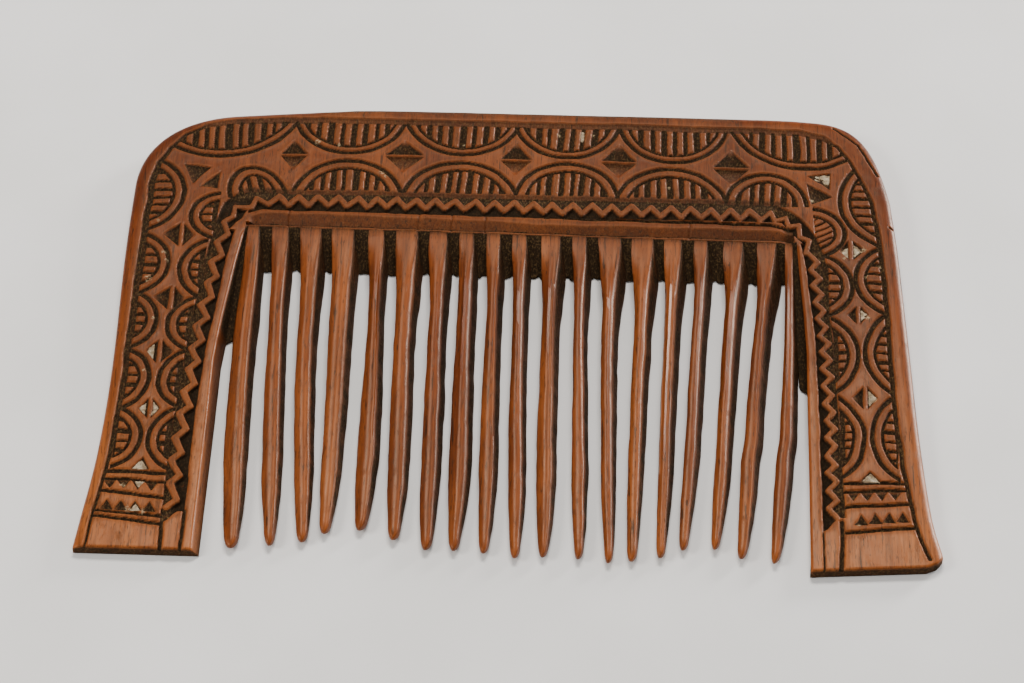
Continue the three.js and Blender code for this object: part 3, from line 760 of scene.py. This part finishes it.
def crown_grid():
    """A patch between the shoulder, the two sides and the crest, blended from its four edges."""
    x0 = np.concatenate(seam_columns())
    low = np.minimum(kerf_line(x0) - 0.1, SHOULDER_Y + 0.3)
    middle = smooth(LEFT_SEAM_X, LEFT_SEAM_X + 1, x0) * smooth(RIGHT_SEAM_X, RIGHT_SEAM_X - 1, x0)
    y0 = SHOULDER_Y + (low - SHOULDER_Y) * middle
    s = (x0 - x0[0]) / (x0[-1] - x0[0])
    x1 = left_x(LEFT_MITRE_Y) + s * (right_x(RIGHT_MITRE_Y) - left_x(LEFT_MITRE_Y))
    y1 = top_y(x1)
    t = np.linspace(0, 1, CROWN_ROWS)
    yl = SHOULDER_Y + t * (y1[0] - SHOULDER_Y)
    yr = SHOULDER_Y + t * (y1[-1] - SHOULDER_Y)
    s, t = s[None, :], t[:, None]
    out = []
    for bottom, top, left, right in ((x0, x1, left_x(yl), right_x(yr)), (y0, y1, yl, yr)):
        left, right = left[:, None], right[:, None]
        sides = (1 - s) * left + s * right
        ends = (1 - t) * bottom + t * top
        corners = ((1 - s) * (1 - t) * bottom[0] + s * (1 - t) * bottom[-1]
                   + (1 - s) * t * top[0] + s * t * top[-1])
        out.append(sides + ends - corners)
    return out


def kerf_floor(x, y, z):
    """Slanted, torn floor of the saw cuts, as rows of points from under the rail to the back."""
    x = np.repeat(x[None], KERF_ROWS, axis=0)
    down = np.linspace(1, 0, KERF_ROWS)[:, None]
    y = KERF_FLOOR_Y + (y - KERF_FLOOR_Y) * down
    fibre = 0.14 * noise(x * 2.6, y * 0.25, 1, 11) + 0.05 * noise(x, y, 0.6, 12)
    z = KERF_END_Z + (z - KERF_END_Z) * down + fibre * np.sin(np.pi * down) - 0.25 * np.sin(np.pi * down)
    y = y + 0.5 * noise(x * 1.5, 0 * y, 1, 13) * (1 - down)
    return np.stack([x, y, z], -1)


def close_parts(solid, parts, rounded, shade, corners):
    """Closes a solid under a loop given in parts. Those in rounded have a softened edge on the back."""
    ends = np.cumsum([0, *map(len, parts)])
    inset = np.concatenate([np.full(len(p), BACK_INSET * (k in rounded)) for k, p in enumerate(parts)])
    grime_and_shade = np.where(beside(inset > 0), BACK_SHADE, shade)
    solid.close(np.concatenate(parts), tapered(inset, [ends[k] + shift for k, shift in corners]), grime_and_shade)


def build_spine(material):
    x, y = crown_grid()
    face = Face(x, y)
    solid = Solid()
    index = solid.grid(np.stack([x, y, face.z], -1), **face.finish())
    first, last = GUARD_COLUMNS - 1, x.shape[1] - GUARD_COLUMNS
    span = slice(first, last + 1)
    points = kerf_floor(x[0, span], y[0, span], face.z[0, span])
    # The saw-cut floors are dusty, with a little painted depth shade.
    lower = solid.add(points[1:], dirt=1.0, soot=0.1).reshape(KERF_ROWS - 1, -1)
    floor = np.vstack([index[:1, span], lower])
    solid.faces += quads(floor[::-1])
    parts = [index[0, :first + 1], floor[1:, 0], floor[-1, 1:], floor[-2::-1, -1], index[0, last + 1:],
             index[1:, -1], index[-1, -2::-1], index[-2:0:-1, 0]]
    close_parts(solid, parts, (5, 6, 7), 1.0, [(5, 0), (0, 0)])
    solid.build("spine_board", material, ["spine"])


def guard_grid(side, foot, edge):
    """x and y of a guard's points, y of its end in each column and x of its front edge in each row."""
    seam = seam_columns()[0] if side < 0 else seam_columns()[2]
    width = seam[-1] - seam[0]
    share = (seam - seam[0]) / width
    from_edge = share * width if side < 0 else (1 - share) * width
    end = np.interp(from_edge, *foot)
    rows = int((SHOULDER_Y - FEET_Y) / GUARD_ROW_STEP)
    y = end + (SHOULDER_Y - end) * np.linspace(0, 1, rows)[:, None]
    front = np.interp(y, edge["y"], edge["x"])
    low, high = (left_x(y), front) if side < 0 else (front, right_x(y))
    return low + (high - low) * share, y, end, front


def build_guard(node, side, foot, edge, web, material):
    """One guard, at the left if side is -1 and at the right if it is 1."""
    x, y, end, front = guard_grid(side, foot, edge)
    face = Face(x, y)
    from_front = np.abs(x - front)
    below_seam = smooth(SHOULDER_Y, SHOULDER_Y - 2, y)
    face.z -= 0.5 * quarter_round(np.clip((0.7 - from_front) / 0.7, 0, 0.97)) * below_seam
    face.z -= 0.2 * quarter_round(np.clip((0.5 - (y - end)) / 0.5, 0, 0.97))
    values = face.finish()
    ridge = smooth(0.75, 0.2, from_front) * below_seam
    values["wear"] = np.maximum(values["wear"], 0.6 * ridge)
    solid = Solid()
    points = np.stack([x, y, face.z], -1)
    index = add_wall(solid, solid.grid(points, **values), points, side, web)
    parts = [index[0], index[1:-1, -1], index[-1, ::-1], index[-2:0:-1, 0]]
    close_parts(solid, parts, (3,) if side < 0 else (1,), 0.8, [(0, 0), (1, -1), (2, 0), (3, -1)])
    solid.build(f"{node}_board", material, [node])


def add_wall(solid, index, points, side, web):
    """The sawn wall beside the teeth and the web at its foot, as columns beyond the inner edge."""
    web_height, web_top, run_out, reach = web
    ex, ey, ez = points[:, -1 if side < 0 else 0].T
    web_z = np.interp(ey, [run_out, KERF_FLOOR_Y, web_top], [0.3, 0.3 + 0.72 * web_height, web_height])
    web_z = np.clip(web_z, 0.3, ez - 0.6)
    grow = smooth(run_out - 0.6, run_out + 2.5, ey + 0.4 * noise(ex * 0, ey, 0.8, 14))
    foot_x = ex + KERF_SLANT * (1 - web_z / THICKNESS)
    tip_x = foot_x - side * (0.06 + (reach - 0.06) * grow)
    columns = []
    for share in (0.12, 0.3, 0.55, 0.8, 1.0):
        grime_and_shade = np.clip(0.1 + 0.45 * share + 0.6 * grow, 0, 1)
        columns.append((ex + (foot_x - ex) * share, ez + (web_z - ez) * share, grime_and_shade))
    for share in (0.35, 0.7, 1.0):
        sag = 0.12 * np.sin(np.pi * share) + 0.05 * noise(0 * ey, ey, 0.7, 15)
        columns.append((foot_x + (tip_x - foot_x) * share, np.maximum(0.2, web_z - sag * grow), 1.0))
    # The sawn wall and its web are dusty and carry painted depth shade.
    added = []
    for x, z, grime_and_shade in columns:
        added.append(solid.add(np.stack([x, ey, z], -1), dirt=grime_and_shade, soot=0.4, pale=paleness(ey)))
    strips = np.stack(added, 1)
    if side < 0:
        solid.faces += quads(np.concatenate([index[:, -1:], strips], axis=1))
        return np.concatenate([index, strips], axis=1)
    strips = strips[:, ::-1]
    solid.faces += quads(np.concatenate([strips, index[:, :1]], axis=1))
    return np.concatenate([strips, index], axis=1)


# ---- teeth ----
def width_curve(v, widths):
    root, neck, belly, tip = widths
    flare = np.interp(v, [0, NECK_AT], [0, 1])
    body = np.interp(v, [NECK_AT, BELLY_AT], [0, 1])
    end = np.interp(v, [BELLY_AT, 1], [0, 1])
    width = root + (neck - root) * smooth(0, 1, flare) + (belly - neck) * smooth(0, 1, body)
    return width + (tip - belly) * end ** 2


def tooth_section(rng):
    """Corners of a tooth's section, u across in half widths and w from back to front, with its dirt."""
    left, right = rng.uniform(-0.62, -0.2), rng.uniform(0.3, 0.72)
    low_left, low_right = rng.uniform(0.6, 0.78), rng.uniform(0.66, 0.86)
    return [
        (-0.85, 0.0, 0.6), (0.95, 0.0, 0.6), (1.13, 0.05, 0.8), (1.17, 0.2, 1.0), (1.12, 0.42, 1.0),
        (1.04, low_right - 0.1, 0.95), (0.99, low_right, 0.35),
        ((1 + right) / 2 + 0.06, (1 + low_right) / 2 + 0.03, 0.0), (right + 0.07, 0.92, 0.0),
        (right - 0.07, 0.955, 0.0), ((left + right) / 2, 1.02, 0.0), (left + 0.07, 0.955, 0.0),
        (left - 0.07, 0.91, 0.0), ((left - 1) / 2 - 0.05, (1 + low_left) / 2 + 0.02, 0.0),
        (-0.98, low_left, 0.1), (-1.0, low_left - 0.12, 0.4), (-1.0, 0.3, 0.7), (-0.97, 0.06, 0.7),
    ]


RIGHT_RIDGE = 8  # the section's corner that is rubbed bright


class Tooth:
    """Points of a tooth over u and w, the places in its section, and v, 0 at its root and 1 at its tip."""

    def __init__(self, number, spec):
        self.number = number
        self.root_x, self.tip_x, self.tip_y, self.bow, *self.widths = spec
        self.rng = np.random.default_rng(500 + number)
        self.u, w, self.dirt = np.array(tooth_section(self.rng)).T
        shaft = np.linspace(0, 1, TOOTH_RINGS - NOSE_RINGS) * (1 - NOSE_LENGTH)
        nose = np.sin(np.linspace(0, 1, NOSE_RINGS + 1)[1:] * math.pi / 2)
        self.v = np.concatenate([shaft, 1 - NOSE_LENGTH + NOSE_LENGTH * nose])[:, None]
        into_nose = ((self.v - 1 + NOSE_LENGTH) / NOSE_LENGTH).clip(0, 0.994)
        self.blunt = np.sqrt(np.clip(1 - into_nose ** 2, 0, 1))
        w = w + (0.985 - w) * smooth(0.2, 0.02, self.v) * (w > FRONT_FROM)
        askew = ASKEW.get(number, 0.0) * self.u * (w > FRONT_FROM)
        self.w = w + askew * smooth(0.02, 0.12, self.v)
        front_y = kerf_line(np.float64(self.root_x)) + 0.12
        root_y = KERF_FLOOR_Y + (front_y - KERF_FLOOR_Y) * self.w
        self.y = root_y + (self.tip_y - root_y) * self.v

    def uneven(self, across, cell, seed):
        return noise(self.y, across + 0 * self.y, cell, seed + self.number)

    def x(self):
        v, y = self.v, self.y
        wave = 0.1 * self.uneven(self.number * 7, 9, 600) + 0.05 * self.uneven(self.number, 2.6, 640)
        if self.number >= 18:
            wave = wave + 0.2 * np.exp(-((y + 24) / 5) ** 2) * np.sin((y + 24) / 3)
        middle = self.root_x + (self.tip_x - self.root_x) * v + self.bow * np.sin(math.pi * v)
        half = width_curve(v, self.widths) / 2 * (1 + 0.04 * self.uneven(0, 6, 700)) * self.blunt
        lean = KERF_SLANT * (1 - self.w) * (1 - v ** 4)
        side = self.u * half * (1 + 0.035 * self.uneven(self.u * 2, 3, 780))
        x = middle + wave * smooth(0, 0.1, v) + side + lean
        if self.number == 19:
            x = x + 0.5 * np.exp(-((y + 26) / 0.7) ** 2) * (self.u < -0.9)
        return x

    def z(self):
        """The tooth thins towards its tip, which is lifted off the surface that the comb lies on."""
        lift = 0.28 * self.v ** 3
        thin = 1 - self.v ** 1.6 * (1 - thickness(self.tip_y) / FACE_Z)
        middle = lift + 0.5 * (1 - lift)
        rise = middle + (lift + self.w * (1 - lift) - middle) * (0.25 + 0.75 * self.blunt)
        return KERF_Z * 1.03 * rise * thin + 0.03 * self.uneven(self.u * 1.5, 4, 740) * (self.w > 0.5)

    def values(self):
        """What the shader needs to know about every point."""
        patches = noise(self.y * 1.4, self.u * 3 + 0 * self.y, 1, 820 + self.number)
        sides = self.dirt * (0.75 + 0.25 * patches) * smooth(1.02, 0.9, self.v)
        root_shade = 0.5 * smooth(0.02, 0.0, self.v) * (self.w > 0.5)
        ridge = np.exp(-((np.abs(self.u - self.u[RIGHT_RIDGE])) / 0.1) ** 2)
        wear = 0.55 * ridge + 0.5 * smooth(0.9, 1.0, self.v) + 0 * self.y
        pale = self.rng.uniform(0.0, 0.3) + 0.2 * smooth(0.6, 1.0, self.v) + 0 * self.y
        # The teeth carry painted depth shade all over, and painted shade at the root under the rail.
        return {"dirt": np.clip(sides + root_shade, 0, 1), "wear": wear, "soot": 0.35, "pale": pale}


def build_tooth(number, spec, material):
    tooth = Tooth(number, spec)
    solid = Solid()
    index = solid.grid(np.stack([tooth.x(), tooth.y, tooth.z()], -1), **tooth.values())
    solid.faces += quads(np.stack([index[:, -1], index[:, 0]], 1))
    solid.faces = [corners[::-1] for corners in solid.faces]
    solid.faces += [index[0].tolist(), index[-1, ::-1].tolist()]
    solid.build(f"tooth_{number:02d}_bar", material, [f"tooth_{number:02d}"])


# ---- lime ----
def lime_outline(node):
    """Corners of a lime node's outline, in order round its middle."""
    seen = {(round(v.co.x / MM, 2), round(v.co.y / MM, 2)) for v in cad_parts[node].data.vertices}
    points = np.array(sorted(seen))
    middle = points.mean(axis=0)
    angle = np.arctan2(points[:, 1] - middle[1], points[:, 0] - middle[0])
    return points[np.argsort(angle)], middle


# Rings of a lump of lime: share of its outline, share of its height.
LIME_RINGS = ((0.96, 0.0), (1.02, 0.45), (0.97, 0.8), (0.86, 0.97), (0.68, 1.0), (0.45, 0.95), (0.2, 0.92))


def build_lime(node, seed, material):
    corners, middle = lime_outline(node)
    rng = np.random.default_rng(seed)
    low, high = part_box(node)
    base, top = low[2] / MM, high[2] / MM
    following = np.roll(corners, -1, axis=0)
    steps = np.linspace(0, 1, 12, endpoint=False)[:, None]
    rim = np.vstack([a + (b - a) * steps for a, b in zip(corners, following)])
    for _ in range(3):
        rim = (np.roll(rim, 1, axis=0) + 2 * rim + np.roll(rim, -1, axis=0)) / 4
    rim = rim + rng.normal(0, 0.05, rim.shape)
    solid = Solid()
    rings = []
    for share, height in LIME_RINGS:
        xy = middle + (rim - middle) * share
        lumps = 0.16 * noise(*xy.T, 0.6, seed) + 0.08 * noise(*xy.T, 0.25, seed + 1)
        z = base + (top - base) * height + lumps * min(1, height * 1.2) - 0.1 * (height > 0)
        edge = 0.75 * (share > 0.9) + 0.25 * smooth(-0.02, -0.18, lumps)
        rings.append(solid.add(np.column_stack([xy - SHIFT[:2], z]), dirt=edge, lime=1.0))
    index = np.stack(rings)
    solid.faces += quads(np.concatenate([index, index[:, :1]], axis=1))
    solid.faces += [index[-1].tolist(), index[0, ::-1].tolist()]
    solid.build(f"{node}_fill", material, [node])


# ---- materials ----
def rgb(red, green, blue):
    """A colour given as it looks on a screen, 0 to 255."""
    linear = [((c / 255 + 0.055) / 1.055) ** 2.4 if c > 10 else c / 3295 for c in (red, green, blue)]
    return (*linear, 1.0)


class Shader:
    """Short names for the node calls that the materials repeat."""

    def __init__(self, name):
        self.material = bpy.data.materials.new(name)
        self.material.use_nodes = True
        self.tree = self.material.node_tree
        self.surface = self.tree.nodes["Principled BSDF"]
        place = self.add("TexCoord")
        scale = self.add("Mapping", Scale=(1 / MM, 1 / MM, 1 / MM))
        self.link(place.outputs["Object"], scale.inputs["Vector"])
        self.millimetres = scale.outputs["Vector"]

    def add(self, kind, **constants):
        """A new node with constants in its inputs. From_Min stands for the input From Min."""
        node = self.tree.nodes.new("ShaderNode" + kind)
        for key, value in constants.items():
            node.inputs[key.replace("_", " ")].default_value = value
        return node

    def link(self, source, target):
        self.tree.links.new(source, target)

    def fill(self, sockets, values):
        """Gives each socket its constant, or the output that feeds it."""
        for socket, value in zip(sockets, values):
            if isinstance(value, (float, tuple)):
                socket.default_value = value
            else:
                self.link(value, socket)

    def attribute(self, name):
        node = self.add("Attribute")
        node.attribute_name = name
        return node.outputs["Fac"]

    def noise(self, frequency, along=1.0, detail=4.0, rough=0.6, warp=0.0):
        """Noise with this many blobs to the millimetre, and along times as many down the grain."""
        mapping = self.add("Mapping", Scale=(1, along, 1))
        self.link(self.millimetres, mapping.inputs["Vector"])
        node = self.add("TexNoise", Scale=frequency, Detail=detail, Roughness=rough, Distortion=warp)
        self.link(mapping.outputs["Vector"], node.inputs["Vector"])
        return node.outputs["Fac"]

    def span(self, value, low, high, to_low=0.0, to_high=1.0):
        node = self.add("MapRange", From_Min=low, From_Max=high, To_Min=to_low, To_Max=to_high)
        node.interpolation_type = "SMOOTHSTEP"
        self.link(value, node.inputs["Value"])
        return node.outputs["Result"]

    def math(self, kind, first, second):
        node = self.add("Math")
        node.operation = kind
        node.use_clamp = True
        self.fill(node.inputs, (first, second))
        return node.outputs[0]

    def times(self, first, second):
        return self.math("MULTIPLY", first, second)

    def mix(self, factor, first, second):
        node = self.add("Mix")
        node.data_type = "RGBA"
        colours = [s for s in node.inputs if s.type == "RGBA"]
        self.fill([node.inputs[0], *colours], (factor, first, second))
        return [s for s in node.outputs if s.type == "RGBA"][0]

    def bump(self, height, distance, after=None):
        node = self.add("Bump", Distance=distance, Strength=1.0)
        self.link(height, node.inputs["Height"])
        if after is not None:
            self.link(after, node.inputs["Normal"])
        return node.outputs["Normal"]


def wood_material():
    """Old oiled wood: warm and pale towards the feet, partly as painted sheen, with streaks, pores, hair
    cracks, dust darkened by painted shade in the deep cuts, and lime.
    """
    s = Shader("polished_carved_wood")
    blotch = s.span(s.noise(0.06, 0.5, 3.0, 0.5), 0.42, 0.7, 0.0, 0.25)
    pale = s.math("ADD", s.attribute("pale"), blotch)
    tone = s.span(s.noise(0.11, 0.3, 4.0, 0.6), 0.35, 0.65)
    streak = s.noise(1.3, 0.035, 5.0, 0.65, 0.3)
    fibre = s.noise(5.0, 0.05, 4.0, 0.65)
    pore = s.span(s.noise(3.4, 0.14, 2.0, 0.5), 0.6, 0.68)
    hair = s.span(s.noise(1.9, 0.05, 3.0, 0.55, 0.6), 0.63, 0.66)
    red = s.mix(tone, rgb(80, 33, 10), rgb(106, 49, 16))
    tan = s.mix(tone, rgb(120, 59, 21), rgb(148, 82, 36))
    colour = s.mix(pale, red, tan)
    colour = s.mix(s.span(streak, 0.42, 0.66, 0.0, 0.55), colour, rgb(58, 25, 10))
    colour = s.mix(s.span(fibre, 0.5, 0.72, 0.0, 0.22), colour, rgb(156, 80, 30))
    colour = s.mix(s.times(pore, 0.6), colour, rgb(36, 19, 10))
    colour = s.mix(s.times(hair, 0.75), colour, rgb(24, 14, 8))
    colour = s.mix(s.times(s.attribute("wear"), 0.3), colour, rgb(168, 86, 32))
    specks = s.noise(3.0, 0.5, 5.0, 0.7)
    dust_and_shade = s.mix(s.span(specks, 0.46, 0.74), rgb(30, 20, 11), rgb(98, 75, 46))
    # Painted shade: deep cuts darken their dust towards near black, standing in for the shadow in them.
    dust_and_shade = s.mix(s.times(s.attribute("soot"), 0.85), dust_and_shade, rgb(20, 13, 7))
    patches = s.span(s.noise(1.6, 0.7, 5.0, 0.7), 0.25, 0.5, 0.78, 1.15)
    ragged = s.times(s.attribute("dirt"), patches)
    film = s.span(s.noise(0.5, 0.5, 6.0, 0.65), 0.52, 0.78, 0.0, 0.28)
    # Dirt, with the painted shade that it carries, and a random film of grime.
    dirt_and_shade_amount = s.math("ADD", ragged, film)
    colour = s.mix(dirt_and_shade_amount, colour, dust_and_shade)
    crumbs = s.span(s.noise(2.5, 1, 4.0, 0.7), 0.42, 0.6, 0.0, 0.8)
    limed = s.times(s.attribute("lime"), crumbs)
    colour = s.mix(limed, colour, rgb(176, 154, 118))
    s.link(colour, s.surface.inputs["Base Color"])
    gloss = s.span(fibre, 0.3, 0.7, 0.33, 0.41)
    rough = s.add("Mix")
    s.fill([rough.inputs[0], *rough.inputs[2:4]], (s.math("MAXIMUM", dirt_and_shade_amount, limed), gloss, 0.95))
    s.link(rough.outputs[0], s.surface.inputs["Roughness"])
    ribs = s.math("SUBTRACT", s.times(fibre, 0.5), s.times(hair, 0.5))
    grain = s.bump(ribs, 0.000014)
    grit = s.bump(s.times(specks, dirt_and_shade_amount), 0.00022, grain)
    s.link(grit, s.surface.inputs["Normal"])
    s.surface.inputs["Specular IOR Level"].default_value = 0.28
    s.surface.inputs["Specular Tint"].default_value = rgb(255, 220, 185)
    return s.material


def lime_material():
    """Crumbly white lime, stained brown by handling."""
    s = Shader("crumbly_lime")
    blotch = s.noise(0.9, 1, 5.0, 0.65)
    grains = s.noise(5.0, 1, 4.0, 0.7)
    colour = s.mix(s.span(blotch, 0.35, 0.65), rgb(128, 106, 76), rgb(196, 178, 146))
    colour = s.mix(s.span(grains, 0.54, 0.68, 0.0, 0.6), colour, rgb(84, 64, 42))
    colour = s.mix(s.times(s.attribute("dirt"), 0.85), colour, rgb(66, 47, 29))
    s.link(colour, s.surface.inputs["Base Color"])
    s.link(s.span(blotch, 0.3, 0.7, 0.8, 0.96), s.surface.inputs["Roughness"])
    s.link(s.bump(grains, 0.00025), s.surface.inputs["Normal"])
    return s.material


def floor_material():
    s = Shader("pale_floor")
    cloudy = s.span(s.noise(0.02, 1, 3.0, 0.5), 0.3, 0.7)
    colour = s.mix(cloudy, rgb(228, 226, 222), rgb(236, 234, 231))
    s.link(colour, s.surface.inputs["Base Color"])
    s.surface.inputs["Roughness"].default_value = 0.8
    return s.material


# ---- studio ----
TARGET = Vector((SHIFT[0] * MM, SHIFT[1] * MM, THICKNESS * MM))
CAMERA = {"azimuth": 2.0, "elevation": 50.3, "distance": 0.62, "lens": 110.0}
# Azimuth, elevation, distance, size, watts and colour.
SOFTBOXES = {
    "back_softbox": (180, 63, 0.9, (0.4, 0.2), 7.2, (1.0, 0.96, 0.92)),
    "right_strip": (130, 11, 0.8, (0.2, 0.28), 9.0, (1.0, 0.98, 0.97)),
    "left_softbox": (-75, 38, 0.9, (0.3, 0.3), 4.4, (1.0, 0.95, 0.9)),
    "front_fill": (10, 60, 1.2, (0.6, 0.6), 3.4, (1.0, 1.0, 1.0)),
}
FLOOR_HALF = 2.5
FLOOR_Z = -0.0002


def direction(azimuth, elevation):
    a, e = math.radians(azimuth), math.radians(elevation)
    return Vector((math.sin(a) * math.cos(e), -math.cos(a) * math.cos(e), math.sin(e)))


def add_camera():
    data = bpy.data.cameras.new("camera")
    data.lens = CAMERA["lens"]
    data.sensor_width = 36.0
    data.clip_start, data.clip_end = 0.01, 20.0
    camera = bpy.data.objects.new("camera", data)
    back = direction(CAMERA["azimuth"], CAMERA["elevation"])
    camera.location = TARGET + back * CAMERA["distance"]
    camera.rotation_mode = "QUATERNION"
    camera.rotation_quaternion = (-back).to_track_quat("-Z", "Y")
    bpy.context.collection.objects.link(camera)
    bpy.context.scene.camera = camera


def add_softbox(name, azimuth, elevation, distance, size, watts, colour):
    data = bpy.data.lights.new(name, "AREA")
    data.shape = "RECTANGLE"
    data.size, data.size_y = size
    data.energy = watts
    data.color = colour
    lamp = bpy.data.objects.new(name, data)
    towards = direction(azimuth, elevation)
    lamp.location = TARGET + towards * distance
    lamp.rotation_mode = "QUATERNION"
    lamp.rotation_quaternion = towards.to_track_quat("Z", "Y")
    bpy.context.collection.objects.link(lamp)


def add_floor():
    mesh = bpy.data.meshes.new("studio_floor")
    corners = [(x * FLOOR_HALF, y * FLOOR_HALF, FLOOR_Z) for x, y in ((-1, -1), (1, -1), (1, 1), (-1, 1))]
    mesh.from_pydata(corners, [], [(0, 1, 2, 3)])
    mesh.materials.append(floor_material())
    floor = bpy.data.objects.new("studio_floor", mesh)
    bpy.context.collection.objects.link(floor)


def add_studio():
    add_floor()
    world = bpy.data.worlds.new("studio")
    world.use_nodes = True
    background = world.node_tree.nodes["Background"]
    background.inputs["Color"].default_value = (0.9, 0.95, 1.0, 1.0)
    background.inputs["Strength"].default_value = 0.25
    bpy.context.scene.world = world
    for name, settings in SOFTBOXES.items():
        add_softbox(name, *settings)


# ---- the comb ----
wood = wood_material()
lime = lime_material()
build_spine(wood)
build_guard("left_guard", -1, LEFT_FOOT, LEFT_EDGE, LEFT_WEB, wood)
build_guard("right_guard", 1, RIGHT_FOOT, RIGHT_EDGE, RIGHT_WEB, wood)
for number, spec in enumerate(TEETH, 1):
    build_tooth(number, spec, wood)
lime_nodes = sorted(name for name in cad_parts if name.startswith("lime_"))
for seed, node in enumerate(lime_nodes, 900):
    build_lime(node, seed, lime)

add_camera()
add_studio()
